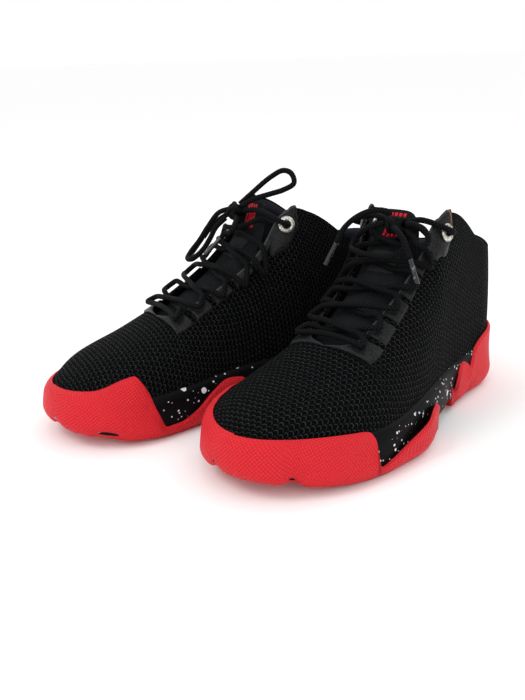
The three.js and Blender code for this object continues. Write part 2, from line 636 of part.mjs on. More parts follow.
// Free laces of each shoe: chosen points in the shoe's own frame.
const FREE_LACES = {
  left: {
    bow_loop_medial: [[-2, 17, 143], [-7, 13, 142], [-14, 11.5, 138.5], [-22, 13, 132], [-23, 8, 126],
      [-11, -1, 125], [2, -3, 124.5], [14, -1.5, 125], [20.5, 3.5, 128], [20.5, 8.5, 132.5],
      [12.5, 13.2, 138.8]],
    bow_loop_lateral: [[16.4, 17, 144.5], [23, 17, 144.5], [31, 16, 142], [35.5, 14, 136], [34, 11, 131.5],
      [28.5, 11, 132.5], [23, 14, 136.5], [17.4, 15.5, 140]],
    lace_end_medial: [[3, 20, 150.5], [-4, 17, 152.3], [-13, 14, 151], [-22, 10, 146], [-29, 6, 138],
      [-32, 2, 129]],
    lace_end_lateral: [[9.5, 11.8, 142.5], [15.5, 5.5, 142], [22.5, 2, 137.5], [28, -0.5, 130],
      [30.8, -2, 125.4]],
  },
  right: {
    bow_loop_medial: [[4, 21, 149.3], [-2, 28.5, 157.5], [-8, 42, 169], [-14, 50, 174], [-19, 54, 172],
      [-23, 54, 165], [-20, 47, 160.5], [-14, 36, 157], [-7, 27, 153.6], [-1, 19.5, 148.2]],
    bow_loop_lateral: [[16.2, 16.5, 144], [22, 11, 141], [25, 3, 131], [26.5, -5, 120], [26.5, -13, 112],
      [20, -19, 108.5], [13, -18, 109.5], [11, -10, 115.5], [13.5, -2, 123], [16, 5, 131],
      [12.2, 12, 138.2]],
    lace_end_medial: [[0, 15.5, 139.9], [-8, 11, 140], [-12.5, 7.5, 136], [-11, 5, 132], [-5, 5, 130],
      [-1, 4.5, 129], [0, 1.5, 126]],
    lace_end_lateral: [[16.6, 20, 140.4], [23, 17.5, 138], [29.5, 13, 133], [34, 8, 127], [36, 3, 120]],
  },
}

function freePoints(side, name) {
  return FREE_LACES[side][name].map(([x, y, z]) => new THREE.Vector3(x, y, z))
}

function aglet(side, name) {
  const points = freePoints(side, name)
  const tip = points[points.length - 1]
  const way = tip.clone().sub(points[points.length - 2]).normalize()
  const start = tip.clone().addScaledVector(way, LAYER_GAP)
  const end = start.clone().addScaledVector(way, AGLET_LENGTH)
  return cord([start, start.clone().lerp(end, 0.5), end], LACE_DIAMETER * 0.8, 8, AGLET_LENGTH / 2)
}

// --- materials and the two shoes ---

const finish = (color, roughness, metalness = 0) => new THREE.MeshStandardMaterial({
  color, roughness, metalness })
const RED_RUBBER = finish('#e8353c', 0.55)
const BLACK_FOAM = finish('#17191b', 0.75)
const BLACK_KNIT = finish('#1b1d1f', 0.9)
const BLACK_SKIN = finish('#202225', 0.5)
const BLACK_LINING = finish('#121314', 0.85)
const BLACK_LACE = finish('#16181a', 0.8)
const GREY_BOARD = finish('#8d8d88', 0.9)
const SHELL_PLASTIC = finish('#d8d8d2', 0.5)
const SILVER = finish('#b9b8ae', 0.35, 0.9)
const CLEAR_FILM = finish('#dfe6ea', 0.15)

const PIECES = [
  ['outsole_forefoot', () => outsole(true), RED_RUBBER],
  ['outsole_heel', () => outsole(false), RED_RUBBER],
  ['midsole', midsole, BLACK_FOAM],
  ['shank_plate', () => shank(), SHELL_PLASTIC],
  ['heel_air_unit', () => airUnit(), CLEAR_FILM],
  ['strobel_board', strobelBoard, GREY_BOARD],
  ['sockliner', sockliner, BLACK_LINING],
  ['upper', upper, BLACK_KNIT],
  ['toe_stiffener', toeStiffener, SHELL_PLASTIC],
  ['heel_counter', heelCounter, SHELL_PLASTIC],
  ['collar_padding', collarPadding, BLACK_FOAM],
  ['lining', lining, BLACK_LINING],
  ['collar_binding', collarBinding, BLACK_SKIN],
  ['tongue', tongue, BLACK_KNIT],
  ['tongue_top', tongueTop, BLACK_KNIT],
  ['lace_keeper', laceKeeper, BLACK_SKIN],
  ['eyestay_lateral', () => eyestay(1), BLACK_SKIN],
  ['eyestay_medial', () => eyestay(-1), BLACK_SKIN],
  ['grommet_lateral', () => grommet(1), SILVER],
  ['grommet_medial', () => grommet(-1), SILVER],
  ['lace', lace, BLACK_LACE],
  ['bow_knot', knot, BLACK_LACE],
]
const LOOPS = ['bow_loop_medial', 'bow_loop_lateral', 'lace_end_medial', 'lace_end_lateral']

const shared = PIECES.map(([name, make, material]) => [name, weld(make()), material])

function shoe(side) {
  const group = new THREE.Group()
  const add = (name, geometry, material) => {
    const mesh = new THREE.Mesh(geometry, material)
    mesh.name = `${side}_${name}`
    group.add(mesh)
  }
  for (const [name, geometry, material] of shared) add(name, geometry, material)
  for (const name of LOOPS) {
    add(name, weld(cord(freePoints(side, name), LACE_DIAMETER, 8, LACE_DIAMETER * 3)), BLACK_LACE)
  }
  add('aglet_medial', weld(aglet(side, 'lace_end_medial')), CLEAR_FILM)
  add('aglet_lateral', weld(aglet(side, 'lace_end_lateral')), CLEAR_FILM)
  return group
}

const left = shoe('left')
const right = shoe('right')
right.scale.x = -1
right.rotation.z = RIGHT_YAW
right.position.set(-SHOE_SPACING, RIGHT_BACK, 0)

// The pair stands with the middle of its footprint at the origin.
const pair = new THREE.Group()
pair.add(left, right)
pair.updateMatrixWorld(true)
const footprint = new THREE.Box3()
for (const name of ['outsole_forefoot', 'outsole_heel', 'midsole', 'upper']) {
  footprint.expandByObject(pair.getObjectByName(`left_${name}`), true)
  footprint.expandByObject(pair.getObjectByName(`right_${name}`), true)
}
const middle = footprint.getCenter(new THREE.Vector3())
pair.position.set(-middle.x, -middle.y, 0)

const group = new THREE.Group()
group.add(pair)
export default group
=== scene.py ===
# A pair of laced basketball shoes: knitted upper, padded collar, speckled foam and a red rubber cup.
import json
import math

import bmesh
import bpy
import numpy as np
from mathutils import Matrix, Vector


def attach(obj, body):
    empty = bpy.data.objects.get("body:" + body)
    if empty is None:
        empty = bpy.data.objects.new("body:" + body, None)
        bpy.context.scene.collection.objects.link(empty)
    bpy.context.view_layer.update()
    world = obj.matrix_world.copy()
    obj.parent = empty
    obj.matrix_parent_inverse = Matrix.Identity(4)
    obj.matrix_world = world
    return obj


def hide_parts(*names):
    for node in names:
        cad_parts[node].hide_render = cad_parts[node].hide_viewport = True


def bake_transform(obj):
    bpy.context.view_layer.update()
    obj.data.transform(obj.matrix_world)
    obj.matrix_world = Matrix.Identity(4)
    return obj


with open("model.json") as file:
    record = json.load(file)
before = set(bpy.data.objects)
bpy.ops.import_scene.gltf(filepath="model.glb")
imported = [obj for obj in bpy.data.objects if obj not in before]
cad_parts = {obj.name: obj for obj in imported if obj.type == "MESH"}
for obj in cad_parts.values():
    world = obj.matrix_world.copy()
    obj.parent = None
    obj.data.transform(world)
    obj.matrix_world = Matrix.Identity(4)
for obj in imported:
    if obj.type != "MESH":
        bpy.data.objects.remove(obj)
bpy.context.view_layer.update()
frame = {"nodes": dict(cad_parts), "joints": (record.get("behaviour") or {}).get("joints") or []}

# --- camera ---
# A short telephoto lens in front of the left shoe's lateral side, a little above the laces. It aims
# between the two shoes and leans slightly to the left.
camera = bpy.data.objects.new("camera", bpy.data.cameras.new("camera"))
bpy.context.scene.collection.objects.link(camera)
bpy.context.scene.camera = camera
camera.data.sensor_width = 36
camera.data.lens = 43.4057
camera.data.clip_start = 0.05
TARGET = Vector((-0.0154, -0.0074, 0.0405))
DISTANCE = 0.659
AZIMUTH, ELEVATION, ROLL = (math.radians(a) for a in (40.3, 19.2, -1.9))
back = Vector((math.sin(AZIMUTH) * math.cos(ELEVATION), -math.cos(AZIMUTH) * math.cos(ELEVATION),
               math.sin(ELEVATION)))
side_way = Vector((math.cos(AZIMUTH), math.sin(AZIMUTH), 0))
up_way = back.cross(side_way)
right_way = side_way * math.cos(ROLL) + up_way * math.sin(ROLL)
top_way = up_way * math.cos(ROLL) - side_way * math.sin(ROLL)
turned = Matrix((right_way, top_way, back)).transposed().to_4x4()
camera.matrix_world = Matrix.Translation(TARGET + back * DISTANCE) @ turned

# --- free laces ---
# The bow's loops and the two ends of each lace: limp braided cord, with a clear aglet on each end.
# Each hangs out of the knot along listed points, in the shoe's own frame, in metres.
SIDES = ("left", "right")
LATERAL, MEDIAL = 1, -1
MM = 0.001
HINGE_IN_SHOE = np.array((-0.006, -0.133, 0.0245))


def shoe_frame(side):
    """The matrix from a shoe's own frame (lateral +X, heel +Y) to the pair's, read off its hinge."""
    hinge = next(j for j in frame["joints"] if j["name"] == f"{side}_sockliner_lift")
    yaw = math.atan2(hinge["axis"][1], hinge["axis"][0])
    turn = Matrix.Rotation(yaw, 4, "Z")
    if side == "right":
        turn = turn @ Matrix.Diagonal((-1, 1, 1, 1))
    anchor = Vector(hinge["pos_m"])
    return Matrix.Translation(anchor - turn @ Vector(HINGE_IN_SHOE)) @ turn


PLACES = {side: np.array(shoe_frame(side)) for side in SIDES}


def placed(side, points):
    """Points in millimetres in a shoe's frame, as an array in metres in the pair's frame."""
    points = np.asarray(points, float) * MM
    return points @ PLACES[side][:3, :3].T + PLACES[side][:3, 3]


LACE_RADIUS = 2.1
CORD_STEP, CUTS_PER_SPAN = 1.0, 12


def smooth_path(points):
    """A centripetal Catmull-Rom curve through the points, cut into equal steps."""
    points = np.asarray(points, float)
    ends = [2 * points[0] - points[1], 2 * points[-1] - points[-2]]
    p = np.vstack([ends[0], points, ends[1]])
    knots = np.concatenate([[0], np.cumsum(np.linalg.norm(np.diff(p, axis=0), axis=1) ** 0.5)])
    line = [points[0]]
    for i in range(1, len(p) - 2):
        t0, t1, t2, t3 = knots[i - 1:i + 3]
        for t in np.linspace(t1, t2, CUTS_PER_SPAN + 1)[1:]:
            a1 = (t1 - t) / (t1 - t0) * p[i - 1] + (t - t0) / (t1 - t0) * p[i]
            a2 = (t2 - t) / (t2 - t1) * p[i] + (t - t1) / (t2 - t1) * p[i + 1]
            a3 = (t3 - t) / (t3 - t2) * p[i + 1] + (t - t2) / (t3 - t2) * p[i + 2]
            b1 = (t2 - t) / (t2 - t0) * a1 + (t - t0) / (t2 - t0) * a2
            b2 = (t3 - t) / (t3 - t1) * a2 + (t - t1) / (t3 - t1) * a3
            line.append((t2 - t) / (t2 - t1) * b1 + (t - t1) / (t2 - t1) * b2)
    line = np.array(line)
    along = np.concatenate([[0], np.cumsum(np.linalg.norm(np.diff(line, axis=0), axis=1))])
    count = max(4, round(along[-1] / CORD_STEP))
    at = np.linspace(0, along[-1], count + 1)
    return np.column_stack([np.interp(at, along, line[:, axis]) for axis in range(3)])


def made_mesh(bm, name):
    """Turns a finished bmesh into a mesh."""
    mesh = bpy.data.meshes.new(name)
    bm.to_mesh(mesh)
    bm.free()
    return mesh


def add_piece(name, mesh, material):
    for polygon in mesh.polygons:
        polygon.use_smooth = True
    piece = bpy.data.objects.new(name, mesh)
    bpy.context.scene.collection.objects.link(piece)
    piece.data.materials.clear()
    piece.data.materials.append(material)
    return piece


def tube(name, side, paths, radius, material):
    """One mesh of round cords swept along paths in the shoe's frame, UV in millimetres."""
    curve = bpy.data.curves.new(name, "CURVE")
    curve.dimensions = "3D"
    curve.bevel_depth = radius * MM
    curve.bevel_resolution = 3
    curve.use_fill_caps = True
    longest = 0
    for path in paths:
        line = placed(side, path)
        longest = max(longest, len(path) * CORD_STEP)
        spline = curve.splines.new("POLY")
        spline.points.add(len(line) - 1)
        spline.points.foreach_set("co", np.column_stack([line, np.ones(len(line))]).ravel())
    holder = bpy.data.objects.new(name + ".sweep", curve)
    bpy.context.scene.collection.objects.link(holder)
    depsgraph = bpy.context.evaluated_depsgraph_get()
    mesh = bpy.data.meshes.new_from_object(holder.evaluated_get(depsgraph))
    bpy.data.objects.remove(holder)
    weld = bmesh.new()
    weld.from_mesh(mesh)
    bmesh.ops.remove_doubles(weld, verts=weld.verts, dist=1e-6)
    bmesh.ops.recalc_face_normals(weld, faces=weld.faces)
    weld.to_mesh(mesh)
    weld.free()
    if mesh.uv_layers:
        uv = np.zeros(len(mesh.loops) * 2, np.float32)
        mesh.uv_layers[0].data.foreach_get("uv", uv)
        uv = uv.reshape(-1, 2) * (longest, 2 * math.pi * radius)
        mesh.uv_layers[0].data.foreach_set("uv", uv.astype(np.float32).ravel())
    return add_piece(name, mesh, material)


def shader(name, colour, roughness, metallic=0.0, **extra):
    """A material with a Principled surface. Returns the material, its tree and the surface node."""
    material = bpy.data.materials.new(name)
    material.use_nodes = True
    surface = material.node_tree.nodes["Principled BSDF"]
    surface.inputs["Base Color"].default_value = (*colour, 1)
    surface.inputs["Roughness"].default_value = roughness
    surface.inputs["Metallic"].default_value = metallic
    surface.inputs["Specular IOR Level"].default_value = 0.5 if metallic else 0.12
    for socket, value in extra.items():
        surface.inputs[socket.replace("_", " ")].default_value = value
    return material, material.node_tree, surface


def node(tree, kind, **settings):
    """A node with its properties set, and its inputs given by name, number or linked socket."""
    made = tree.nodes.new("ShaderNode" + kind)
    for key, value in settings.items():
        if key == "inputs":
            for socket, given in value.items():
                if isinstance(given, bpy.types.NodeSocket):
                    tree.links.new(given, made.inputs[socket])
                else:
                    made.inputs[socket].default_value = given
        else:
            setattr(made, key, value)
    return made


def math_node(tree, operation, *values):
    return node(tree, "Math", operation=operation, inputs=dict(enumerate(values))).outputs[0]


def new_group(name, inputs, outputs):
    """An empty node group with the given (name, kind, value) inputs and (name, kind) outputs."""
    group = bpy.data.node_groups.new(name, "ShaderNodeTree")
    for label, kind, value in inputs:
        socket = group.interface.new_socket(label, in_out="INPUT", socket_type="NodeSocket" + kind)
        if value is not None:
            socket.default_value = value
    for label, kind in outputs:
        group.interface.new_socket(label, in_out="OUTPUT", socket_type="NodeSocket" + kind)
    return group, group.nodes.new("NodeGroupInput"), group.nodes.new("NodeGroupOutput")


def use_group(tree, group, **inputs):
    return node(tree, "Group", node_tree=group, inputs=inputs)


def bump(tree, surface, height, strength, distance):
    made = node(tree, "Bump", inputs={"Height": height, "Strength": strength, "Distance": distance})
    tree.links.new(made.outputs[0], surface.inputs["Normal"])


def noise(tree, scale, detail):
    """Noise on the piece's Object coordinates."""
    where = node(tree, "TexCoord").outputs["Object"]
    return node(tree, "TexNoise", inputs={"Vector": where, "Scale": scale, "Detail": detail}).outputs[0]


def ramp(tree, factor, low, high, dark, light):
    """A colour that runs from dark to light as factor runs from low to high."""
    spread = node(tree, "MapRange", inputs={0: factor, 1: low, 2: high}).outputs[0]
    mix = node(tree, "Mix", data_type="RGBA", inputs={0: spread})
    mix.inputs[6].default_value = (*dark, 1)
    mix.inputs[7].default_value = (*light, 1)
    return mix.outputs[2]


STRANDS_ROUND = 4


def braid_group():
    """Crossed strands round a cord, as a height from UV in millimetres."""
    group, given, out = new_group("braid", [("Pitch", "Float", 3.0)], [("Height", "Float")])
    uv = node(group, "UVMap").outputs[0]
    split = node(group, "SeparateXYZ", inputs={0: uv})
    along = math_node(group, "DIVIDE", split.outputs[0], given.outputs["Pitch"])
    around = math_node(group, "MULTIPLY", split.outputs[1], STRANDS_ROUND / (2 * math.pi * LACE_RADIUS))
    turns = []
    for way in (1, -1):
        leaning = math_node(group, "MULTIPLY_ADD", around, way, along)
        wave = math_node(group, "SINE", math_node(group, "MULTIPLY", leaning, 2 * math.pi))
        turns.append(wave)
    group.links.new(math_node(group, "MAXIMUM", *turns), out.inputs["Height"])
    return group


BRAID = braid_group()
LACE_BLACK = (0.0010, 0.0010, 0.0012)
LACE_LIT = (0.007, 0.0075, 0.0083)


def lace_material():
    material, tree, surface = shader("lace_braid", LACE_BLACK, 0.6, Sheen_Weight=0.01,
                                     Specular_IOR_Level=0.04, Sheen_Roughness=0.5)
    surface.inputs["Sheen Tint"].default_value = (0.5, 0.52, 0.56, 1)
    braid = use_group(tree, BRAID, Pitch=2.6)
    # The raised strands are painted lighter than the grooves between them: a painted highlight on the
    # braid.
    colour = ramp(tree, braid.outputs["Height"], -0.4, 1.0, LACE_BLACK, LACE_LIT)
    tree.links.new(colour, surface.inputs["Base Color"])
    bump(tree, surface, braid.outputs["Height"], 0.6, 0.0004)
    return material


LACE = lace_material()
FREE_LACES = {
    "left": {
        "bow_loop_medial": ((-2, 17, 143), (-7, 13, 142), (-14, 11.5, 138.5), (-22, 13, 132),
                            (-23, 8, 126), (-11, -1, 125), (2, -3, 124.5), (14, -1.5, 125),
                            (20.5, 3.5, 128), (20.5, 8.5, 132.5), (12.5, 13.2, 138.8)),
        "bow_loop_lateral": ((16.4, 17, 144.5), (23, 17, 144.5), (31, 16, 142), (35.5, 14, 136),
                             (34, 11, 131.5), (28.5, 11, 132.5), (23, 14, 136.5), (17.4, 15.5, 140)),
        "lace_end_medial": ((3, 20, 150.5), (-4, 17, 152.3), (-13, 14, 151), (-22, 10, 146),
                            (-29, 6, 138), (-32, 2, 129)),
        "lace_end_lateral": ((9.5, 11.8, 142.5), (15.5, 5.5, 142), (22.5, 2, 137.5), (28, -0.5, 130),
                             (30.8, -2, 125.4)),
    },
    "right": {
        "bow_loop_medial": ((4, 21, 149.3), (-2, 28.5, 157.5), (-8, 42, 169), (-14, 50, 174),
                            (-19, 54, 172), (-23, 54, 165), (-20, 47, 160.5), (-14, 36, 157),
                            (-7, 27, 153.6), (-1, 19.5, 148.2)),
        "bow_loop_lateral": ((16.2, 16.5, 144), (22, 11, 141), (25, 3, 131), (26.5, -5, 120),
                             (26.5, -13, 112), (20, -19, 108.5), (13, -18, 109.5), (11, -10, 115.5),
                             (13.5, -2, 123), (16, 5, 131), (12.2, 12, 138.2)),
        "lace_end_medial": ((0, 15.5, 139.9), (-8, 11, 140), (-12.5, 7.5, 136), (-11, 5, 132),
                            (-5, 5, 130), (-1, 4.5, 129), (0, 1.5, 126)),
        "lace_end_lateral": ((16.6, 20, 140.4), (23, 17.5, 138), (29.5, 13, 133), (34, 8, 127),
                             (36, 3, 120)),
    },
}
AGLET_LENGTH = 18
AGLET_RADIUS = 1.68
CORD_GAP = 0.3


def aglet_material():
    material, tree, surface = shader("aglet_film", (0.03, 0.03, 0.032), 0.1, Coat_Weight=0.8)
    # This noise paints bright patches over the dark film: painted highlights, as on glossy clear plastic
    # over black lace.
    grain = noise(tree, 260.0, 2.0)
    colour = ramp(tree, grain, 0.58, 0.72, (0.008, 0.008, 0.01), (0.22, 0.23, 0.25))
    tree.links.new(colour, surface.inputs["Base Color"])
    return material


AGLET = aglet_material()
for side in SIDES:
    for cord_name, points in FREE_LACES[side].items():
        path = smooth_path(points)
        name = f"{side}_{cord_name}"
        piece = tube(name + "_cord", side, [path], LACE_RADIUS, LACE)
        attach(piece, "root")
        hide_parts(name)
        if cord_name.startswith("lace_end"):
            tip = np.array(points[-1], float)
            way = tip - np.array(points[-2], float)
            way /= np.linalg.norm(way)
            start = tip + way * CORD_GAP
            aglet_name = name.replace("lace_end", "aglet")
            sleeve = smooth_path([start, start + way * AGLET_LENGTH / 2, start + way * AGLET_LENGTH])
            sleeve_piece = tube(aglet_name + "_film", side, [sleeve], AGLET_RADIUS, AGLET)
            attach(sleeve_piece, "root")
            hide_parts(aglet_name)

# --- the foot's form ---
# The last that every layer is pulled over: one smooth body whose sections change from toe to heel.
# Each profile gives a size in millimetres at places along the shoe, from the toe on.
TOE_Y, HEEL_Y = -144, 143
TOE_TAPER_Y, HEEL_TAPER_Y, TOE_CAP_Y = -60, 100, -95
TOE_ROUNDNESS, HEEL_ROUNDNESS, CAP_ROUNDNESS = 3.6, 2.4, 3
LEAN_FROM_Z, LEAN_FROM_Y, LEAN_LENGTH, LEAN_RATE = 55, 40, 100, 0.0012
UNDERSIDE_SQUARENESS, UNDERSIDE_ROUNDNESS = 0.4, 0.6
FORM_LENGTH = HEEL_Y - TOE_Y
MIDDLE_Y = (TOE_Y + HEEL_Y) / 2


def profile(*points):
    """A smooth curve through (place, value) points that never overshoots them."""
    xs, ys = np.array(points, float).T
    rise = np.diff(ys) / np.diff(xs)
    slope = np.zeros(len(xs))
    same = np.nonzero(rise[:-1] * rise[1:] > 0)[0]
    slope[same + 1] = 2 * rise[same] * rise[same + 1] / (rise[same] + rise[same + 1])

    def value(x):
        x = np.clip(x, xs[0], xs[-1])
        i = np.clip(np.searchsorted(xs, x, side="right") - 1, 0, len(xs) - 2)
        h = xs[i + 1] - xs[i]
        t = (x - xs[i]) / h
        keep = (1 + 2 * t) * (1 - t) ** 2 * ys[i] + t ** 2 * (3 - 2 * t) * ys[i + 1]
        return keep + t * (1 - t) ** 2 * h * slope[i] + t ** 2 * (t - 1) * h * slope[i + 1]
    return value


medial = profile((-144, 45), (-110, 51), (-85, 52), (-60, 49), (-20, 41), (20, 37), (44, 37), (64, 35),
                 (105, 34), (143, 34))
lateral = profile((-144, 40), (-110, 48), (-85, 53), (-60, 56), (-20, 52), (20, 44), (44, 39), (64, 37),
                  (105, 35), (143, 35))
centre = profile((-144, -8), (-90, -4), (-20, -1), (60, 0), (143, 0))
ridge = profile((-144, 48), (-120, 54), (-100, 58.5), (-80, 64), (-60, 72), (-40, 82), (-20, 94),
                (0, 108), (20, 129), (40, 169), (60, 200), (80, 207), (143, 210))
widest = profile((-144, 31), (-60, 31), (20, 35), (80, 42), (143, 46))
footbed = profile((-144, 24), (-110, 18), (-60, 16), (0, 18), (60, 22), (143, 26))
squareness = profile((-144, 0.95), (-60, 0.85), (-20, 0.78), (0, 0.7), (20, 0.6), (40, 0.44),
                     (60, 0.42), (143, 0.42))


def ramp_up(x, low, high):
    t = np.clip((x - low) / (high - low), 0, 1)
    return t * t * (3 - 2 * t)


def span_y(turn, grow=0.0):
    return MIDDLE_Y + (FORM_LENGTH / 2 + grow) * np.cos(turn)


def turn_at(y):
    return np.arccos(np.clip((y - MIDDLE_Y) / (FORM_LENGTH / 2), -1, 1))


def ends(y, grow=0.0):
    """The share of the half width that is left as the outline rounds in at the toe and the heel."""
    toe = np.clip((TOE_TAPER_Y - y) / (TOE_TAPER_Y - TOE_Y + grow), 0, 1)
    heel = np.clip((y - HEEL_TAPER_Y) / (HEEL_Y + grow - HEEL_TAPER_Y), 0, 1)
    return np.sqrt(1 - toe ** TOE_ROUNDNESS) * np.sqrt(1 - heel ** HEEL_ROUNDNESS)


def toe_cap(y, grow=0.0):
    """The share of the height that is left as the form rounds down at the toe."""
    toe = np.clip((TOE_CAP_Y - y) / (TOE_CAP_Y - TOE_Y + grow), 0, 1)
    return np.sqrt(1 - toe ** CAP_ROUNDNESS)


def lean(y, z):
    """How far the collar leans forward over the heel."""
    back_share = np.clip((y - LEAN_FROM_Y) / LEAN_LENGTH, 0, 1)
    return -LEAN_RATE * np.maximum(0, z - LEAN_FROM_Z) ** 2 * back_share


def form(turn, angle, grow=0.0):
    """Points of the form grown outwards: turn runs heel to toe, angle from lateral to medial."""
    y = span_y(turn, grow)
    c, s = np.cos(angle), np.sin(angle)
    half = (np.where(c >= 0, lateral(y), medial(y)) + grow) * ends(y, grow)
    power = np.where(s >= 0, squareness(y), UNDERSIDE_SQUARENESS)
    x = centre(y) + half * np.sign(c) * np.abs(c) ** power
    up = (ridge(y) + grow - widest(y)) * toe_cap(y, grow)
    down = widest(y) - footbed(y) + grow
    z = widest(y) + np.where(s >= 0, up * s, -down * np.abs(s) ** UNDERSIDE_ROUNDNESS)
    return np.stack([x, y + lean(y, z), z], -1)


def outline(turn, grow):
    """The plan outline at a turn from 0 to 2 pi, lateral side first, with x across and y along."""
    y = span_y(turn, grow)
    half = np.where(np.sin(turn) >= 0, lateral(y) + grow, -(medial(y) + grow)) * ends(y, grow)
    return centre(y) + half, y


FORM_MIDDLE = (0, 20, 60)


def sheet(name, side, columns, rows, surface, material, thickness=0.0, uv_start=0.5, also=(),
          wall_side=-1):
    """A grid laid on surface(u, v) and on each one in also, with UV as the distance along it in mm.

    A surface may return a function that changes the distances down it. The wall grows inwards from
    the laid side at a wall_side of -1, and outwards at 1."""
    bm = bmesh.new()
    layer = bm.loops.layers.uv.new("UVMap")
    for lay in (surface, *also):
        known = set(bm.verts)
        grid = bmesh.ops.create_grid(bm, x_segments=columns, y_segments=rows, size=0.5)
        corners = [v for v in grid["verts"] if v not in known]
        flat = np.array([v.co[:2] for v in corners]) + 0.5
        across = np.round(flat[:, 0] * columns).astype(int)
        down = np.round(flat[:, 1] * rows).astype(int)
        u, v = np.meshgrid(np.arange(columns + 1) / columns, np.arange(rows + 1) / rows, indexing="ij")
        laid = lay(u, v)
        points, depth = laid if isinstance(laid, tuple) else (laid, None)
        step_u = np.linalg.norm(np.diff(points, axis=0), axis=2)
        step_v = np.linalg.norm(np.diff(points, axis=1), axis=2)
        run_u = np.concatenate([np.zeros((1, rows + 1)), np.cumsum(step_u, 0)])
        run_u -= run_u[int(round(uv_start * columns))][None]
        run_v = np.concatenate([np.zeros((columns + 1, 1)), np.cumsum(step_v, 1)], 1)
        if depth is not None:
            run_v = depth(run_v)
        world = placed(side, points)
        for vert, i, j in zip(corners, across, down):
            vert.co = world[i, j]
        table = {vert: (run_u[i, j], run_v[i, j]) for vert, i, j in zip(corners, across, down)}
        for face in {f for v in corners for f in v.link_faces}:
            for loop in face.loops:
                loop[layer].uv = table[loop.vert]
    bmesh.ops.remove_doubles(bm, verts=bm.verts, dist=2e-6)
    bmesh.ops.dissolve_degenerate(bm, dist=1e-7, edges=bm.edges)
    bmesh.ops.recalc_face_normals(bm, faces=bm.faces)
    middle = Vector(placed(side, [FORM_MIDDLE])[0])
    outwardness = sum((f.calc_center_median() - middle).dot(f.normal) * f.calc_area() for f in bm.faces)
    if outwardness < 0:
        bmesh.ops.reverse_faces(bm, faces=bm.faces)
    piece = add_piece(name, made_mesh(bm, name), material)
    if thickness:
        shell = piece.modifiers.new("thickness", "SOLIDIFY")
        shell.thickness = thickness * MM
        shell.offset = wall_side
    return piece


# --- knitted upper ---
# One seamless knitted sock of coarse interlocked loops, lasted over the form. Its top edge runs
# along the lacing, over the two ears and down round the collar.
throat_half = profile((-60, 19), (0, 23), (20, 25), (44, 29), (70, 30))
THROAT_FRONT_Y, THROAT_ROUND = -57, 14
EAR_START_Y, EAR_SHARPNESS, EAR_ROUNDING = 20, 12, 0.07
HALVINGS = 30
EAR_HEIGHT, EAR_Y, COLLAR_HEIGHT, HEEL_HEIGHT = 151, 44, 106, 117
collar_line = profile((36, EAR_HEIGHT - 2), (EAR_Y, EAR_HEIGHT), (52, EAR_HEIGHT - 1.5),
                      (62, EAR_HEIGHT - 5), (76, COLLAR_HEIGHT + 31), (92, COLLAR_HEIGHT + 18),
                      (108, COLLAR_HEIGHT + 9), (122, COLLAR_HEIGHT + 6), (143, HEEL_HEIGHT),
                      (155, HEEL_HEIGHT + 1))


def throat_edge(y):
    front = np.clip((THROAT_FRONT_Y + THROAT_ROUND - y) / THROAT_ROUND, 0, 1)
    return throat_half(y) * np.sqrt(1 - front ** 2)


def flat_angle(y, x, way):
    """The angle round the section, from 0 at the side to pi / 2 at the ridge, x from the middle."""
    width = lateral(y) if way == LATERAL else medial(y)
    share = np.clip((x - way * centre(y)) / width, 0, 1)
    return np.arccos(share ** (1 / squareness(y)))


def collar_angle(turn):
    """The angle at which the form meets the collar line, found by halving."""
    low, high = np.zeros_like(turn), np.full_like(turn, math.pi / 2)
    for _ in range(HALVINGS):
        middle = (low + high) / 2
        point = form(turn, middle)
        above = point[..., 2] > collar_line(point[..., 1])
        high = np.where(above, middle, high)
        low = np.where(above, low, middle)
    return (low + high) / 2


def top_angle(turn, way):
    """The angle of the upper's top edge: the lacing's edge and the collar's, rounded where they meet."""
    y = span_y(turn)
    throat = np.where(y < THROAT_FRONT_Y, math.pi / 2, flat_angle(y, throat_edge(y), way))
    collar = collar_angle(turn)
    gap = np.abs(throat - collar)
    rounded = np.exp(-gap * EAR_SHARPNESS) * EAR_ROUNDING
    return np.minimum(throat, collar) - np.where(y > EAR_START_Y, rounded, 0)


def sided(angle, way):
    return angle if way == LATERAL else math.pi - angle


BITE_ANGLE = -0.3
LACING_UV_Y = 25
KNIT_THICKNESS = 1.8


def upper_surface(way):
    """One half of the upper. Its UV counts down from the lacing's edge, so that the loops meet there."""
    def surface(u, v):
        turn = np.pi * u
        top = top_angle(turn[:, :1], way)
        angle = BITE_ANGLE + (top - BITE_ANGLE) * v
        points = form(turn, sided(angle, way))
        rest = form(turn, sided(top + (math.pi / 2 - top) * v, way))
        spare = np.linalg.norm(np.diff(rest, axis=1), axis=2).sum(1)

        def depth(run):
            whole = run[:, -1] + spare
            y = span_y(turn[:, 0])
            level = np.interp(np.minimum(y, LACING_UV_Y), y[::-1], whole[::-1])
            return way * (level[:, None] - run)
        return points, depth
    return surface


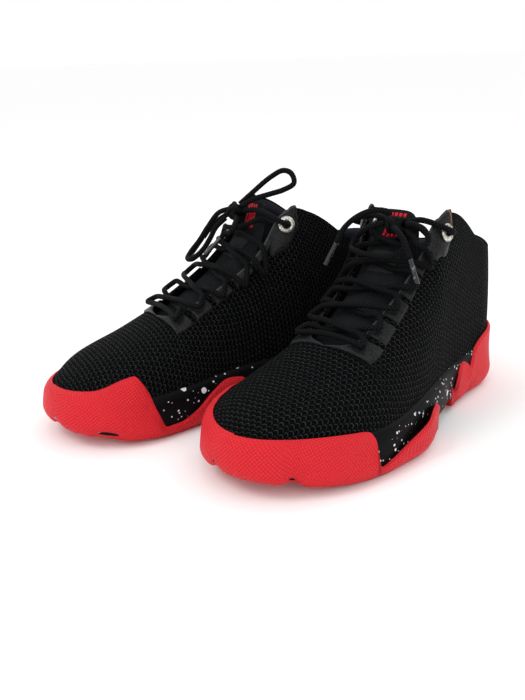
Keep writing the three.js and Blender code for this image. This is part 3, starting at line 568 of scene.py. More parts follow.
def knit_group():
    """Interlocked loops from UV in millimetres: a height and a mask of the raised yarn. The upper half of
    each loop is weighted up, which paints a highlight as if lit from above where the height sets the
    colour.
    """
    group, given, out = new_group("knit_loops", [("Width", "Float", 4.4), ("Length", "Float", 3.2)],
                                  [("Height", "Float"), ("Yarn", "Float")])
    uv = node(group, "UVMap").outputs[0]
    wobble = node(group, "TexNoise", inputs={"Vector": uv, "Scale": 0.25, "Detail": 2.0})
    shift = node(group, "VectorMath", operation="SUBTRACT",
                 inputs={0: wobble.outputs[1], 1: (0.5, 0.5, 0.5)})
    moved = node(group, "VectorMath", operation="MULTIPLY_ADD",
                 inputs={0: shift.outputs[0], 1: (1.6, 1.6, 0), 2: uv})
    split = node(group, "SeparateXYZ", inputs={0: moved.outputs[0]})
    rows = math_node(group, "DIVIDE", split.outputs[0], given.outputs["Length"])
    row = math_node(group, "FLOOR", rows)
    odd = math_node(group, "MULTIPLY", math_node(group, "FLOORED_MODULO", row, 2.0), 0.5)
    columns = math_node(group, "DIVIDE", split.outputs[1], given.outputs["Width"])
    columns = math_node(group, "ADD", columns, odd)
    y = math_node(group, "SUBTRACT", 0.5, math_node(group, "FRACT", rows))
    x = math_node(group, "SUBTRACT", math_node(group, "FRACT", columns), 0.5)
    low = math_node(group, "ADD", y, 0.18)
    low_squared = math_node(group, "MULTIPLY", math_node(group, "MULTIPLY", low, low), 0.5)
    arc = math_node(group, "SQRT", math_node(group, "ADD", math_node(group, "MULTIPLY", x, x), low_squared))
    away = math_node(group, "ABSOLUTE", math_node(group, "SUBTRACT", arc, 0.36))
    band = node(group, "MapRange", interpolation_type="SMOOTHSTEP",
                inputs={0: away, 1: 0.12, 2: 0.015}).outputs[0]
    # The crown weights the upper half of each loop: a painted highlight as if lit from above, which also
    # shapes the bump.
    crown_highlight = node(group, "MapRange", interpolation_type="SMOOTHSTEP",
                 inputs={0: low, 1: -0.12, 2: 0.3}).outputs[0]
    yarn = math_node(group, "MULTIPLY", band, math_node(group, "MULTIPLY_ADD", crown_highlight, 0.85, 0.15))
    hole = node(group, "MapRange", interpolation_type="SMOOTHSTEP",
                inputs={0: arc, 1: 0.26, 2: 0.08}).outputs[0]
    height = math_node(group, "SUBTRACT", yarn, math_node(group, "MULTIPLY", hole, 0.6))
    group.links.new(height, out.inputs["Height"])
    group.links.new(yarn, out.inputs["Yarn"])
    return group


KNIT = knit_group()


def knit_material():
    material, tree, surface = shader("knit", (0.005, 0.005, 0.006), 0.8, Sheen_Weight=0.005,
                                     Specular_IOR_Level=0.04, Sheen_Roughness=0.4)
    surface.inputs["Sheen Tint"].default_value = (0.55, 0.62, 0.7, 1)
    loops = use_group(tree, KNIT, Width=4.3, Length=3.4)
    # The loops' height is painted into the colour as glints: a painted highlight on the yarn rims, faded at
    # random by noise.
    uneven = math_node(tree, "MULTIPLY_ADD", noise(tree, 220.0, 2.0), 1.3, 0.25)
    glint = math_node(tree, "MULTIPLY", loops.outputs["Height"], uneven)
    colour = ramp(tree, glint, 0.05, 1.1, (0.0008, 0.0009, 0.0011), (0.034, 0.037, 0.038))
    tree.links.new(colour, surface.inputs["Base Color"])
    rough = node(tree, "MapRange", inputs={0: loops.outputs["Yarn"], 3: 0.9, 4: 0.5}).outputs[0]
    tree.links.new(rough, surface.inputs["Roughness"])
    bump(tree, surface, loops.outputs["Height"], 0.9, 0.0011)
    return material


KNIT_BLACK = knit_material()
for side in SIDES:
    knit = sheet(f"{side}_upper_knit", side, 170, 56, upper_surface(LATERAL), KNIT_BLACK,
                 thickness=KNIT_THICKNESS, uv_start=0.687, also=(upper_surface(MEDIAL),))
    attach(knit, "root")
    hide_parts(f"{side}_upper")

# --- padded collar and lining ---
# Foam behind brushed mesh, turned over the knit's edge in a soft roll and down inside to the insole.
# The foam is thick round the ankle and ends above the heel.
INSIDE_DEPTH, PADDING_SWELL = 4.4, 4.2
COLLAR_FRONT_Y = 37
ROLL_SHARE, ROLL_START, ROLL_RISE, ROLL_OVERLAP = 0.3, -0.2, 2.4, 2.0
LINING_FOOT_ANGLE = -1.0


def swell_back(y):
    """Full behind the ears, none in front of them."""
    return ramp_up(y, 46, 60)


def swell(y, z):
    """Full in the foam round the ankle, none in the thin lining below it."""
    return swell_back(y) * ramp_up(z, 66, 80)


def smooth_cloth(name, colour, lit, scale, sheen=0.01):
    """Fine plain cloth on Object coordinates: a small grain with soft patches."""
    material, tree, surface = shader(name, colour, 0.85, Sheen_Weight=sheen, Specular_IOR_Level=0.05)
    surface.inputs["Sheen Tint"].default_value = (0.5, 0.56, 0.66, 1)
    where = node(tree, "TexCoord").outputs["Object"]
    grain = node(tree, "TexVoronoi", inputs={"Vector": where, "Scale": scale}).outputs["Distance"]
    mixed = math_node(tree, "MULTIPLY_ADD", noise(tree, 45.0, 3.0), 0.6, grain)
    tree.links.new(ramp(tree, mixed, 0.25, 0.95, colour, lit), surface.inputs["Base Color"])
    bump(tree, surface, grain, 0.35, 0.0003)
    return material


LINING = smooth_cloth("collar_mesh", (0.004, 0.0045, 0.006), (0.012, 0.014, 0.020), 1500)


def collar_surface(way):
    """From just outside the knit's edge, over the roll and down the inside to the footbed."""
    def surface(u, v):
        turn = turn_at(COLLAR_FRONT_Y + (HEEL_Y - COLLAR_FRONT_Y - 0.001) * np.sin(u * np.pi / 2))
        top = top_angle(turn[:, :1], way)
        rolling = v < ROLL_SHARE
        over = np.clip(v / ROLL_SHARE, 0, 1)
        inside = np.clip((v - ROLL_SHARE) / (1 - ROLL_SHARE), 0, 1)
        angle = top - inside * (top - LINING_FOOT_ANGLE)
        depth = INSIDE_DEPTH + PADDING_SWELL * swell_back(span_y(turn))
        z_here = form(turn, sided(angle, way))[..., 2]
        thick = INSIDE_DEPTH + PADDING_SWELL * swell(span_y(turn), z_here)
        grow = np.where(rolling, ROLL_START - over * (depth + ROLL_START), -thick)
        points = form(turn, sided(angle, way), grow)
        dome = np.sin(np.pi * over) ** 0.6 * rolling
        points[..., 2] += np.where(rolling, ROLL_RISE * dome - ROLL_OVERLAP * (1 - over), 0)
        return points
    return surface


for side in SIDES:
    collar = sheet(f"{side}_collar_lining", side, 90, 60, collar_surface(LATERAL), LINING,
                   thickness=0.8, also=(collar_surface(MEDIAL),), wall_side=1)
    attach(collar, "root")
    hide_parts(f"{side}_collar_binding", f"{side}_lining")

# --- insole ---
# A loose cupped insole of moulded foam faced with cloth. It lies on the lasting board without glue,
# so its heel end can be lifted out.
INSOLE = smooth_cloth("insole_cloth", (0.005, 0.005, 0.006), (0.02, 0.021, 0.024), 1300)
INSOLE_TOE_Y, INSOLE_HEEL_Y, INSOLE_THICKNESS, BOARD_TOP = -131, 131, 4.2, 2.3


def insole_surface(u, v):
    """The insole's underside. Its rim curls up, less so in the heel, which has to pass the padding."""
    y = INSOLE_TOE_Y + (INSOLE_HEEL_Y - INSOLE_TOE_Y) * u
    rim = 0.5 + 0.58 * ramp_up(y, 30, 80)
    angle = -math.pi + rim + (math.pi - 2 * rim) * v
    return form(turn_at(y), angle, -BOARD_TOP)


for side in SIDES:
    insole = sheet(f"{side}_insole", side, 120, 40, insole_surface, INSOLE,
                   thickness=INSOLE_THICKNESS)
    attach(insole, f"{side}_sockliner")
    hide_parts(f"{side}_sockliner")

# --- foam midsole ---
# Black moulded foam cemented between the upper and the rubber, as a tray with a rounded rim. White
# paint is flicked over it.
RUBBER_FLOOR, FOAM_WALL, RUBBER_WALL = 3.6, 5.0, 2.7
SOLE_GAP = 0.3
TOE_SPRING, HEEL_SPRING = 13, 3
DEEPEST_INSET = -24.0
FLOOR_END, WALL_END, EDGE_END, BACK_END = 0.15, 0.65, 0.72, 0.88
WALL_THICKNESS = 2.4
arch_lift = profile((-20, 0), (12, 6), (40, 6), (62, 0))
bite_line = profile((-150, 33), (-110, 32), (-60, 32), (0, 34), (60, 34.5), (100, 38), (150, 43))


def ground(y):
    """The ground line, which springs up at the toe and a little at the heel."""
    toe = np.maximum(0, (-60 - y) / (-60 - TOE_Y + 8))
    heel = np.maximum(0, (y - 118) / (HEEL_Y + 8 - 118))
    return TOE_SPRING * toe ** 2 + HEEL_SPRING * heel ** 2


def form_height(x, y):
    """How high the form's upper half stands over a point of the plan."""
    half = np.where(x >= centre(y), lateral(y), medial(y)) * ends(y)
    share = np.clip(np.abs(x - centre(y)) / np.maximum(half, 1e-3), 0, 1)
    return widest(y) + (ridge(y) - widest(y)) * toe_cap(y) * np.sqrt(1 - share ** (2 / squareness(y)))


def inset_at(turn, z):
    """How far in from the outline the form reaches the height z, found by halving."""
    low, high = np.full_like(z, DEEPEST_INSET), np.zeros_like(z)
    for _ in range(24):
        middle = (low + high) / 2
        x, y = outline(turn, middle)
        over = form_height(x, np.clip(y, TOE_Y, HEEL_Y)) > z
        low = np.where(over, middle, low)
        high = np.where(over, high, middle)
    return np.where(z <= widest(span_y(turn)), 0, (low + high) / 2)


def wall_surface(first, last, low, top, offset, lift, floor_end, floor_z, rounding, radius):
    """A closed band round the outline: floor, wall up to the top line, rounded edge, inside and back.

    Turn runs from first to last. offset(turn, z, top) is the wall's distance out of the form,
    lift(turn, y) raises the wall's foot, and rounding draws the foot in over the height radius."""
    def surface(u, v):
        turn = first + (last - first) * u
        y0 = span_y(turn, FOAM_WALL)
        floor = low(y0)
        base = floor + lift(turn, y0)
        high = np.maximum(top(turn, y0), base + 2.0)
        out = np.clip((v - FLOOR_END) / (WALL_END - FLOOR_END), 0, 1)
        edge = np.clip((v - WALL_END) / (EDGE_END - WALL_END), 0, 1)
        back_down = np.clip((v - EDGE_END) / (BACK_END - EDGE_END), 0, 1)
        z = base + (high - base) * out
        z = np.where(v > EDGE_END, high + (np.minimum(floor + floor_z, high) - high) * back_down, z)
        grow = inset_at(turn, z) + offset(turn, z, high)
        crest = np.clip((z - high + 1.8) / 1.8, 0, 1)
        foot = np.clip(1 - (z - base) / radius, 0, 1)
        outside = grow - 1.3 * crest ** 2 - rounding * foot ** 2.2
        inside = grow - WALL_THICKNESS
        mixed = np.where(v < WALL_END, outside, outside * (1 - edge) + inside * edge)
        x, y = outline(turn, mixed)
        z = z + np.where((v >= WALL_END) & (v <= EDGE_END), 0.4 * np.sin(np.pi * edge), 0)
        inner = np.clip((v - BACK_END) / (1 - BACK_END), 0, 1)
        to_middle = np.where(v < FLOOR_END, 1 - v / FLOOR_END, inner)
        y_in = floor_end(y)
        x = x + (centre(y_in) - x) * to_middle
        y = y + (y_in - y) * to_middle
        z = np.where(v < FLOOR_END, floor + (base - floor) * (v / FLOOR_END) ** 3, z)
        return np.stack([x, y, z], -1)
    return surface


def speckle_group():
    """White paint flicked on: rare large drops and many small ones."""
    group, given, out = new_group("paint_flecks", [("Amount", "Float", 1.0)], [("Paint", "Float")])
    where = node(group, "TexCoord").outputs["Object"]
    masks = []
    for scale, size, share in ((115.0, 0.34, 0.82), (420.0, 0.30, 0.74)):
        cells = node(group, "TexVoronoi", inputs={"Vector": where, "Scale": scale})
        chosen = node(group, "SeparateColor", inputs={0: cells.outputs["Color"]}).outputs[0]
        keep = math_node(group, "GREATER_THAN", chosen, share)
        radius = math_node(group, "MULTIPLY", math_node(group, "SUBTRACT", chosen, share - 0.1), size * 4)
        inside = math_node(group, "LESS_THAN", cells.outputs["Distance"], radius)
        masks.append(math_node(group, "MULTIPLY", keep, inside))
    both = math_node(group, "MAXIMUM", *masks)
    group.links.new(math_node(group, "MULTIPLY", both, given.outputs["Amount"]), out.inputs["Paint"])
    return group


SPECKLE = speckle_group()


def foam_material():
    material, tree, surface = shader("speckled_foam", (0.003, 0.003, 0.0034), 0.45, Specular_IOR_Level=0.05)
    paint = use_group(tree, SPECKLE, Amount=1.0).outputs["Paint"]
    colour = ramp(tree, paint, 0.0, 1.0, (0.0035, 0.0035, 0.004), (0.72, 0.74, 0.78))
    tree.links.new(colour, surface.inputs["Base Color"])
    raised = math_node(tree, "MULTIPLY_ADD", paint, 0.6, noise(tree, 1400.0, 3.0))
    bump(tree, surface, raised, 0.25, 0.0003)
    return material


FOAM = foam_material()
wall_out = profile((-160, 8), (10, 8), (60, 5.0), (160, 4.2))


def foam_offset(turn, z, high):
    near_top = np.clip((z - (high - 9)) / 9, 0, 1)
    wall = wall_out(span_y(turn)) - RUBBER_WALL - SOLE_GAP
    return wall - (wall - 1.0) * near_top ** 2


def foam_low(y):
    return ground(y) + RUBBER_FLOOR + SOLE_GAP + arch_lift(y)


def whole_floor(y):
    return np.clip(y, -100, 100)


for side in SIDES:
    foam = sheet(f"{side}_midsole_foam", side, 300, 60,
                 wall_surface(0.0, 2 * math.pi, foam_low, lambda turn, y: bite_line(y), foam_offset,
                              lambda turn, y: 0 * y, whole_floor, 8.0, 1.5, 3.0),
                 FOAM)
    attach(foam, "root")
    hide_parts(f"{side}_midsole")

# --- rubber outsole ---
# Moulded red rubber cemented to the foam in two cups: a tall toe bumper with a pod beside the ball,
# and a heel cup with two peaks on each side. Fine crossed ridges cover both.
lateral_front = profile((-160, 38), (-120, 37), (-96, 35), (-84, 33), (-80, 29), (-77.5, 12), (-75, 8),
                        (-68, 10), (-50, 16), (-30, 22), (-12, 26.5), (-3, 26.5), (2, 21), (5, 12))
medial_front = profile((-160, 38), (-132, 40), (-112, 46), (-104, 47), (-96, 42), (-84, 22), (-78, 9),
                       (-68, 9), (-52, 14), (-36, 24), (-20, 29), (-8, 27), (0, 16), (5, 10))
side_back = profile((48, 6), (54, 18), (62, 28), (70, 32), (76, 30), (81, 24), (86, 28), (94, 37),
                    (104, 42), (116, 45), (130, 47), (160, 49))
FRONT_END_Y, BACK_START_Y = 5, 48


def front_top(turn, y):
    return np.where(np.sin(turn) >= 0, lateral_front(y), medial_front(y))


front_lift = profile((-60, 0), (-28, 0.5), (-14, 4), (-4, 11), (5, 20))
back_lift = profile((48, 16), (54, 8), (62, 2), (72, 1), (78, 4), (81, 6), (84, 5), (92, 1), (118, 0),
                    (155, 5))
POD_Y, POD_HALF_LENGTH, POD_BULGE = -24, 22, 5.0
NOTCH_TURNS, NOTCH_DEPTH, NOTCH_LIFT = (math.pi + 0.16, math.pi - 0.5), 4.5, 4.0
SCOOP_TURN, SCOOP_HEIGHT, SCOOP_DEPTH = math.pi + 0.62, 9, 3.0
WALL_HOLLOW = 1.4


def rubber_offset(turn, z, high):
    """The rubber's distance out of the form, with the pod, the toe's notches and scoop and the hollow."""
    outer = wall_out(span_y(turn))
    near_top = np.clip((z - 20) / np.maximum(high - 20, 1), 0, 1)
    tall = np.clip((high - 24) / 10, 0, 1)
    offset = outer - tall * (outer - 2.9) * near_top ** 2
    pod = np.exp(-((span_y(turn) - POD_Y) / POD_HALF_LENGTH) ** 2) * (np.sin(turn) > 0)
    offset = offset + POD_BULGE * pod
    for place in NOTCH_TURNS:
        offset = offset - NOTCH_DEPTH * np.exp(-((turn - place) / 0.045) ** 2) * np.clip(1 - z / 16, 0, 1)
    from_scoop = ((turn - SCOOP_TURN) / 0.13) ** 2 + ((z - SCOOP_HEIGHT) / 6) ** 2
    hollow = WALL_HOLLOW * np.sin(np.clip((z - 12) / np.maximum(high - 12, 1), 0, 1) * np.pi) * tall
    return offset - SCOOP_DEPTH * np.exp(-from_scoop ** 2) - hollow


def front_foot(turn, y):
    notches = sum(NOTCH_LIFT * np.exp(-np.abs((turn - place) / 0.05) ** 1.5) for place in NOTCH_TURNS)
    return front_lift(y) + notches


def tread_group():
    """Fine crossed ridges moulded into the wall, from UV in millimetres."""
    group, given, out = new_group("diamond_texture", [("Pitch", "Float", 1.6)], [("Height", "Float")])
    uv = node(group, "UVMap").outputs[0]
    split = node(group, "SeparateXYZ", inputs={0: uv})
    waves = []
    for way in (1, -1):
        leaning = math_node(group, "MULTIPLY_ADD", split.outputs[1], way, split.outputs[0])
        phase = math_node(group, "DIVIDE", leaning, given.outputs["Pitch"])
        waves.append(math_node(group, "SINE", math_node(group, "MULTIPLY", phase, math.pi)))
    crossed = math_node(group, "MULTIPLY", *waves)
    group.links.new(math_node(group, "ABSOLUTE", crossed), out.inputs["Height"])
    return group


TREAD = tread_group()


def rubber_material():
    material, tree, surface = shader("red_rubber", (0.72, 0.021, 0.030), 0.45)
    ridges = use_group(tree, TREAD, Pitch=2.8).outputs["Height"]
    # The colour follows the ridges plus noise: random tone in the rubber, and painted shade in the grooves
    # between the ridges.
    shade = math_node(tree, "MULTIPLY_ADD", noise(tree, 30.0, 4.0), 0.5, ridges)
    colour = ramp(tree, shade, 0.1, 0.85, (0.52, 0.010, 0.016), (0.78, 0.026, 0.038))
    tree.links.new(colour, surface.inputs["Base Color"])
    bump(tree, surface, ridges, 1.0, 0.0006)
    return material


RUBBER = rubber_material()
GROWN = FOAM_WALL + SOLE_GAP + RUBBER_WALL
front_turn = math.acos((FRONT_END_Y - MIDDLE_Y) / (FORM_LENGTH / 2 + GROWN))
back_turn = math.acos((BACK_START_Y - MIDDLE_Y) / (FORM_LENGTH / 2 + GROWN))


def capped(piece):
    """Closes the two cut ends of a band that doesn't run all the way round."""
    bm = bmesh.new()
    bm.from_mesh(piece.data)
    bmesh.ops.holes_fill(bm, edges=[e for e in bm.edges if e.is_boundary])
    bmesh.ops.recalc_face_normals(bm, faces=bm.faces)
    bm.to_mesh(piece.data)
    bm.free()
    return piece


for side in SIDES:
    front = sheet(f"{side}_toe_cup", side, 300, 80,
                  wall_surface(front_turn, 2 * math.pi - front_turn, ground, front_top, rubber_offset,
                               front_foot, lambda y: np.clip(y, -100, FRONT_END_Y), RUBBER_FLOOR, 5, 10),
                  RUBBER)
    back_cup = sheet(f"{side}_heel_cup", side, 220, 80,
                     wall_surface(-back_turn, back_turn, ground, lambda turn, y: side_back(y),
                                  rubber_offset, lambda turn, y: back_lift(y),
                                  lambda y: np.clip(y, BACK_START_Y, 100), RUBBER_FLOOR, 5, 12),
                     RUBBER)
    for cup, cad in ((front, "outsole_forefoot"), (back_cup, "outsole_heel")):
        capped(cup)
        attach(cup, "root")
        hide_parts(f"{side}_{cad}")

# --- tongue ---
# Foam between two layers of fine mesh, under the laces and free of the knit at its sides. Its top
# stands free above the last row.
tongue_half = profile((-72, 16), (-40, 24), (0, 27), (18, 27), (24, 24), (40, 23))
TONGUE_OUT = -5.0
TONGUE_FRONT_Y, TONGUE_TOP_Y = -72, 34
TOP_ROUND_Y, TOP_ROUND_LENGTH, TOP_PUFF = 28, 6.4, 1.6


def tongue_surface(u, v):
    y = TONGUE_FRONT_Y + (TONGUE_TOP_Y - TONGUE_FRONT_Y) * u
    near_top = np.clip((y - TOP_ROUND_Y) / TOP_ROUND_LENGTH, 0, 1)
    round_top = np.sqrt(np.clip(1 - near_top ** 2.5, 0, 1))
    half = tongue_half(y) * (0.55 + 0.45 * round_top)
    right = flat_angle(y, half, LATERAL)
    left = math.pi - flat_angle(y, half, MEDIAL)
    angle = left + (right - left) * v
    puff = TOP_PUFF * ramp_up(y, 8, 24) * np.sin(np.pi * v) ** 0.7
    return form(turn_at(y), angle, TONGUE_OUT + puff - 0.6)


TONGUE_CLOTH = smooth_cloth("tongue_mesh", (0.0015, 0.0015, 0.0018), (0.013, 0.014, 0.015), 1100)
for side in SIDES:
    tongue = sheet(f"{side}_tongue_cloth", side, 120, 44, tongue_surface, TONGUE_CLOTH,
                   thickness=4.0)
    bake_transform(tongue)
    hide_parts(f"{side}_tongue", f"{side}_tongue_top")

# --- tongue emblem ---
# A plain badge of slanted bars, sewn in red thread through the tongue's top edge. It is held by
# the tongue top's body.
BADGE_BARS, BAR_WIDTH, BAR_PITCH, BAR_LEAN = 4, 2.6, 3.9, 3.6
BADGE_FRONT_Y, BADGE_BACK_Y = 24.5, 32.5
BADGE_LIFT = 1.7


def badge_bar(number):
    def surface(u, v):
        y = BADGE_FRONT_Y + (BADGE_BACK_Y - BADGE_FRONT_Y) * u
        x = (number - (BADGE_BARS - 1) / 2) * BAR_PITCH + BAR_LEAN * (u - 0.5) + BAR_WIDTH * (v - 0.5)
        angle = np.where(x >= 0, flat_angle(y, x, LATERAL), math.pi - flat_angle(y, -x, MEDIAL))
        rim = ramp_up(u, 0, 0.2) * ramp_up(-u, -1, -0.8) * ramp_up(v, 0, 0.25) * ramp_up(-v, -1, -0.75)
        return form(turn_at(y), angle, TONGUE_OUT + BADGE_LIFT + 0.5 * rim)
    return surface


BADGE, badge_tree, badge_surface = shader("badge_thread", (0.8, 0.012, 0.035), 0.5)
badge_place = node(badge_tree, "TexCoord").outputs["Object"]
stitches = node(badge_tree, "TexWave", bands_direction="Z", inputs={"Vector": badge_place, "Scale": 700.0})
# The stitch lines are painted lighter and the gaps between them darker: painted highlight and shade on the
# thread.
badge_colour = ramp(badge_tree, stitches.outputs[1], 0.0, 1.0, (0.55, 0.008, 0.02), (0.9, 0.02, 0.05))
badge_tree.links.new(badge_colour, badge_surface.inputs["Base Color"])
bump(badge_tree, badge_surface, stitches.outputs[1], 0.5, 0.0002)
for side in SIDES:
    bars = [badge_bar(number) for number in range(BADGE_BARS)]
    badge = sheet(f"{side}_tongue_badge", side, 12, 6, bars[0], BADGE, thickness=0.5,
                  also=bars[1:])
    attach(badge, f"{side}_tongue_top")

# --- eyestays ---
# Coated facings sewn along the lacing: one folded tab at each row, with a painted highlight, a lighter
# line of sheen along its fold, and a panel round the grommet.
EYELET_ROWS = (-50, -32, -14, 4, 20)
TAB_HALF_LENGTH, TAB_WIDTH = 7.4, 7.8
TAB_RISE, TAB_SLANT, PANEL_RISE, FOLD_LINE_IN = 1.5, 3.0, 1.1, 1.0
PANEL_START_Y, PANEL_END_Y = 27, 52
panel_drop = profile((26, 12), (30, 19), (41, 27), (52, 17))


def stay_patch(way, start, stop, drop, raised, slant=0.0):
    """A thin coated patch from the lacing's edge down the knit by drop(y), slanted like a tab."""
    def surface(u, v):
        y = start + (stop - start) * u + slant * v
        turn = turn_at(y)
        top = top_angle(turn, way)
        low = widest(y)
        bottom = np.arcsin(np.clip(np.sin(top) - drop(y) / (ridge(y) - low), 0, 1))
        angle = top + 0.006 + (bottom - top - 0.006) * v
        rim = ramp_up(u, 0, 0.08) * ramp_up(-u, -1, -0.92) * ramp_up(-v, -1, -0.85)
        return form(turn, sided(angle, way), 0.15 + raised * rim)
    return surface


def stay_surfaces(way):
    """One folded tab at each row of the lacing, and the panel round the grommet."""
    tabs = [stay_patch(way, row - TAB_HALF_LENGTH, row + TAB_HALF_LENGTH, lambda y: TAB_WIDTH + 0 * y,
                       TAB_RISE, TAB_SLANT) for row in EYELET_ROWS]
    return tabs + [stay_patch(way, PANEL_START_Y, PANEL_END_Y, panel_drop, PANEL_RISE)]


def coated_material(name, fold_sheen):
    """Smooth black coating. The second argument is how much a painted highlight, a line of sheen along the
    fold at the lacing's edge, lightens it.
    """
    material, tree, surface = shader(name, (0.003, 0.0032, 0.0036), 0.36, Specular_IOR_Level=0.14)
    grain = noise(tree, 700.0, 4.0)
    across = node(tree, "SeparateXYZ", inputs={0: node(tree, "UVMap").outputs[0]}).outputs[1]
    # A lighter line along the fold at the lacing's edge, added to the real grain: a painted highlight, the
    # fold's sheen, not wear.
    from_line = math_node(tree, "ABSOLUTE", math_node(tree, "SUBTRACT", across, FOLD_LINE_IN))
    line = node(tree, "MapRange", interpolation_type="SMOOTHSTEP", inputs={0: from_line, 1: 0.7, 2: 0.25})
    worn = math_node(tree, "MULTIPLY_ADD", line.outputs[0], fold_sheen, grain)
    colour = ramp(tree, worn, 0.3, 1.5, (0.0020, 0.0022, 0.0025), (0.055, 0.057, 0.06))
    tree.links.new(colour, surface.inputs["Base Color"])
    bump(tree, surface, grain, 0.25, 0.0003)
    return material


COATED = coated_material("coated_facing", 1.0)
for side in SIDES:
    for way, label in ((LATERAL, "lateral"), (MEDIAL, "medial")):
        first, *rest = stay_surfaces(way)
        stay = sheet(f"{side}_facing_{label}", side, 36, 20, first, COATED,
                     thickness=0.9, uv_start=0, also=rest)
        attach(stay, "root")
        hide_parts(f"{side}_eyestay_{label}")

# --- grommets ---
# A worn silver grommet of pressed metal through each ear, with a flange on both sides. Its barrel
# is rolled over at the back.
GROMMET_Y, GROMMET_Z = 41, 136


def grommet_seat(way):
    """The place of a grommet on the ear and the way it faces, in the shoe's frame."""
    turn = turn_at(GROMMET_Y)
    low = widest(GROMMET_Y)
    angle = math.asin((GROMMET_Z - low) / (ridge(GROMMET_Y) - low))
    around = sided(angle, way)
    step = 0.01
    along = form(turn + step, around) - form(turn - step, around)
    across = form(turn, around + step) - form(turn, around - step)
    facing = -np.cross(along, across)
    return form(turn, around), facing / np.linalg.norm(facing)


def silver_material():
    material, tree, surface = shader("worn_silver", (0.62, 0.6, 0.56), 0.38, 1.0)
    marks = noise(tree, 900.0, 5.0)
    colour = ramp(tree, marks, 0.35, 0.6, (0.22, 0.21, 0.19), (0.78, 0.76, 0.7))
    tree.links.new(colour, surface.inputs["Base Color"])
    rough = node(tree, "MapRange", inputs={0: marks, 1: 0.3, 2: 0.7, 3: 0.55, 4: 0.3}).outputs[0]
    tree.links.new(rough, surface.inputs["Roughness"])
    bump(tree, surface, marks, 0.3, 0.0002)
    return material


SILVER = silver_material()
GROMMET_SECTION = ((2.6, -5.5), (2.6, 3.2), (2.9, 3.7), (4.0, 4.0), (5.4, 3.8), (6.3, 3.2), (6.5, 2.5),
                   (3.4, 2.3), (3.4, -4.6), (5.8, -4.9), (5.8, -5.5))
for side in SIDES:
    for way, label in ((LATERAL, "lateral"), (MEDIAL, "medial")):
        at, facing = grommet_seat(way)
        bm = bmesh.new()
        verts = [bm.verts.new((r, 0, h)) for r, h in GROMMET_SECTION]
        edges = [bm.edges.new((verts[i], verts[(i + 1) % len(verts)])) for i in range(len(verts))]
        bmesh.ops.spin(bm, geom=verts + edges, cent=(0, 0, 0), axis=(0, 0, 1), angle=2 * math.pi,
                       steps=40, use_merge=True)
        bmesh.ops.remove_doubles(bm, verts=bm.verts, dist=1e-4)
        turn = Vector((0, 0, 1)).rotation_difference(Vector(facing)).to_matrix()
        for vert in bm.verts:
            vert.co = placed(side, [turn @ vert.co + Vector(at)])[0]
        bmesh.ops.recalc_face_normals(bm, faces=bm.faces)
        name = f"{side}_grommet_{label}_ring"
        ring = add_piece(name, made_mesh(bm, name), SILVER)
        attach(ring, "root")
        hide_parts(f"{side}_grommet_{label}")

# --- stray thread ---
# A loose end of tan sewing thread that comes out under the left shoe's outer grommet and lies over
# the ear's edge.
at, facing = grommet_seat(LATERAL)
thread_path = [at + facing * out + (0, along, up) for out, along, up in
               ((4.6, 0.5, 4), (4.4, 1.5, 8), (3.2, 2.6, 12), (0.8, 3.4, 15), (-1.5, 3.6, 15.6))]
TAN, tan_tree, tan_surface = shader("tan_thread", (0.28, 0.12, 0.035), 0.6)
tan_colour = ramp(tan_tree, noise(tan_tree, 2500.0, 2.0), 0.3, 0.7, (0.2, 0.08, 0.02), (0.38, 0.18, 0.06))
tan_tree.links.new(tan_colour, tan_surface.inputs["Base Color"])
thread = tube("left_ear_thread", "left", [smooth_path(thread_path)], 0.3, TAN)
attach(thread, "root")

# --- laces ---
# One round braided lace crosses at each row of the facings, passes through the two grommets and is
# tied in front of the tongue. The knot is three turns round the bow and one over them.
STAY_TOP = 1.9
STAY_LIFT = LACE_RADIUS + 2


def on_shoe(y, x, grow, height):
    way = MEDIAL if x < 0 else LATERAL
    angle = sided(flat_angle(y, abs(x), way), way)
    turn = turn_at(y)
    step = 0.01
    along = form(turn + step, angle) - form(turn - step, angle)
    across = form(turn, angle + step) - form(turn, angle - step)
    out = -np.cross(along, across)
    return form(turn, angle, grow) + out / np.linalg.norm(out) * height


def eyelet_turn(y, way):
    x = way * (throat_half(y) + 5)
    return [on_shoe(y - 2.4, x * 0.97, STAY_TOP, STAY_LIFT), on_shoe(y, x * 1.03, STAY_TOP, STAY_LIFT),
            on_shoe(y + 2.4, x * 0.97, STAY_TOP, STAY_LIFT)]


def crossing(start, stop, way, rise):
    points = []
    for t, share, grow, height in ((0.24, 1, STAY_TOP, STAY_LIFT - 0.4), (0.36, 0.55, TONGUE_OUT, rise + 1),
                                   (0.5, 0, TONGUE_OUT, rise), (0.64, -0.55, TONGUE_OUT, rise + 1),
                                   (0.76, -1, STAY_TOP, STAY_LIFT - 0.4)):
        y = start + (stop - start) * t
        points.append(on_shoe(y, way * (throat_half(y) + 0.5) * share, grow, height))
    return points


def rise_of(over):
    return LACE_RADIUS + 1.1 + (2 * LACE_RADIUS + 0.7 if over else 0)


def strand(first_way, over):
    points = []
    for row, y in enumerate(EYELET_ROWS):
        way = first_way if row % 2 == 0 else -first_way
        turn = eyelet_turn(y, way)
        points += turn[1:] if row == 0 else turn
        if row + 1 < len(EYELET_ROWS):
            points += crossing(y + 2.4, EYELET_ROWS[row + 1] - 2.4, way, rise_of(over))
    return points


KNOT = np.array((7.0, 19.0, 142.5))
KNOT_SIZE = np.array((8.0, 6.0, 6.5))


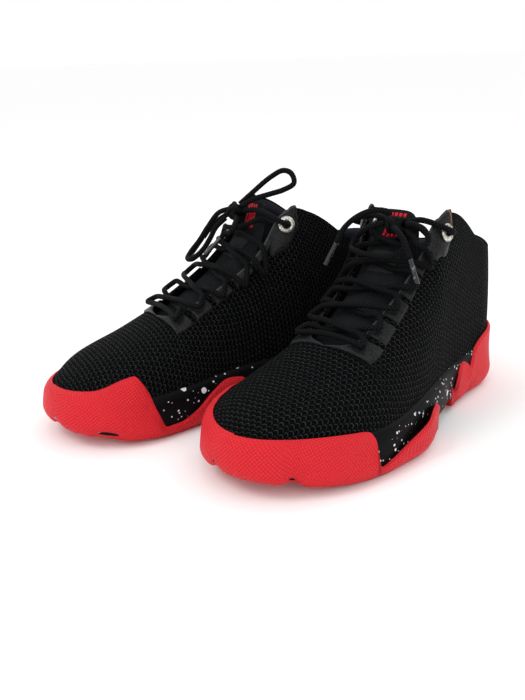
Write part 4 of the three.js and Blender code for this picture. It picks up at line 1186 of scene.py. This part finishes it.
def top_run(way, over):
    at, facing = grommet_seat(way)
    through = [at + facing * depth for depth in (-10.5, -5, 0, 7.5)]
    bend = at + facing * 10 + (-way * 2.6, -4.4, 1.8)
    rise = rise_of(over)
    cross = [on_shoe(22.4, -way * (throat_half(22.4) + 0.5), STAY_TOP, STAY_LIFT),
             on_shoe(22.6, -way * 14, TONGUE_OUT, rise + 1.6), on_shoe(23.6, 0, TONGUE_OUT, rise),
             on_shoe(26, way * 12, TONGUE_OUT, rise + 0.4), on_shoe(31, way * 20, TONGUE_OUT, 3.4)]
    dive = np.array((way * 22.5, 40.5, 132))
    last = np.array((KNOT[0] * 0.5 + way * 18.5, 25.5, 146.5))
    stop = KNOT + (way * (KNOT_SIZE[0] - 3), 2.5, 1)
    return [*cross, dive, *through, bend, last, stop]


def lace_route():
    bar = [on_shoe(EYELET_ROWS[0], x, 0, LACE_RADIUS + 1.3) for x in (14, 0, -14)]
    return [*reversed(top_run(MEDIAL, True)), *reversed(strand(1, True)), *bar, *strand(-1, False),
            *top_run(LATERAL, False)]


def knot_paths():
    """Three turns of lace wound round the bow, and one that crosses over them."""
    wraps = []
    for k in range(3):
        ring = []
        for i in range(13):
            a = 2 * math.pi * i / 12 + 0.5 * k
            ring.append(KNOT + ((k - 1) * 3.8 + 0.8 * math.sin(a), 4.0 * math.cos(a), 4.6 * math.sin(a)))
        wraps.append(smooth_path(ring))
    over = [KNOT + p for p in ((-6.5, 1, 1), (-5, -2.5, 4), (0, -5.2, 3), (5, -4, -1.5), (6.5, 0, -3.5))]
    return wraps + [smooth_path(over)]


for side in SIDES:
    main = tube(f"{side}_lace_cord", side, [smooth_path(lace_route())], LACE_RADIUS, LACE)
    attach(main, "root")
    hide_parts(f"{side}_lace")
    tied = tube(f"{side}_knot_turns", side, knot_paths(), LACE_RADIUS, LACE)
    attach(tied, "root")
    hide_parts(f"{side}_bow_knot")

# --- hidden pieces ---
# The lasting board, the stiffeners, the padding's core and the parts inside the sole, and the webbing
# keeper sewn to the tongue. They keep their CAD shapes.
BOARD = smooth_cloth("lasting_board", (0.03, 0.03, 0.029), (0.055, 0.055, 0.052), 900)
MOULDED = coated_material("moulded_shell", 0.0)
KEEPER = smooth_cloth("keeper_webbing", (0.006, 0.0065, 0.007), (0.024, 0.025, 0.027), 1800)
for side in SIDES:
    for part, material in (("strobel_board", BOARD), ("toe_stiffener", MOULDED),
                           ("heel_counter", MOULDED), ("shank_plate", MOULDED), ("heel_air_unit", AGLET),
                           ("collar_padding", INSOLE), ("lace_keeper", KEEPER)):
        cad = frame["nodes"][f"{side}_{part}"]
        cad.data.materials.clear()
        cad.data.materials.append(material)

# --- floor and light ---
# A plain pale floor under an even white sky, with three large soft lights as in a product studio.
bm = bmesh.new()
bmesh.ops.create_grid(bm, x_segments=1, y_segments=1, size=60.0)
floor = bpy.data.objects.new("studio_floor", made_mesh(bm, "studio_floor"))
bpy.context.scene.collection.objects.link(floor)
floor_paint, _, _ = shader("pale_floor", (0.985, 0.985, 0.985), 0.8)
floor.data.materials.append(floor_paint)
floor.location.z = -0.0005
bpy.context.scene.view_settings.view_transform = "Standard"
world = bpy.data.worlds.new("studio")
bpy.context.scene.world = world
world.use_nodes = True
world.node_tree.nodes["Background"].inputs[0].default_value = (1, 1, 1, 1)
world.node_tree.nodes["Background"].inputs[1].default_value = 1.0


def soft_light(name, place, power, size):
    lamp = bpy.data.lights.new(name, "AREA")
    lamp.energy = power
    lamp.size = size
    holder = bpy.data.objects.new(name, lamp)
    bpy.context.scene.collection.objects.link(holder)
    holder.location = place
    holder.rotation_euler = (Vector((0, 0, 0.05)) - Vector(place)).to_track_quat("-Z", "Y").to_euler()


soft_light("key", (-0.5, -1.0, 1.4), 7, 0.7)
soft_light("fill", (1.3, -0.9, 0.9), 2.5, 0.8)
soft_light("rim", (0.2, 1.3, 1.2), 4, 0.9)
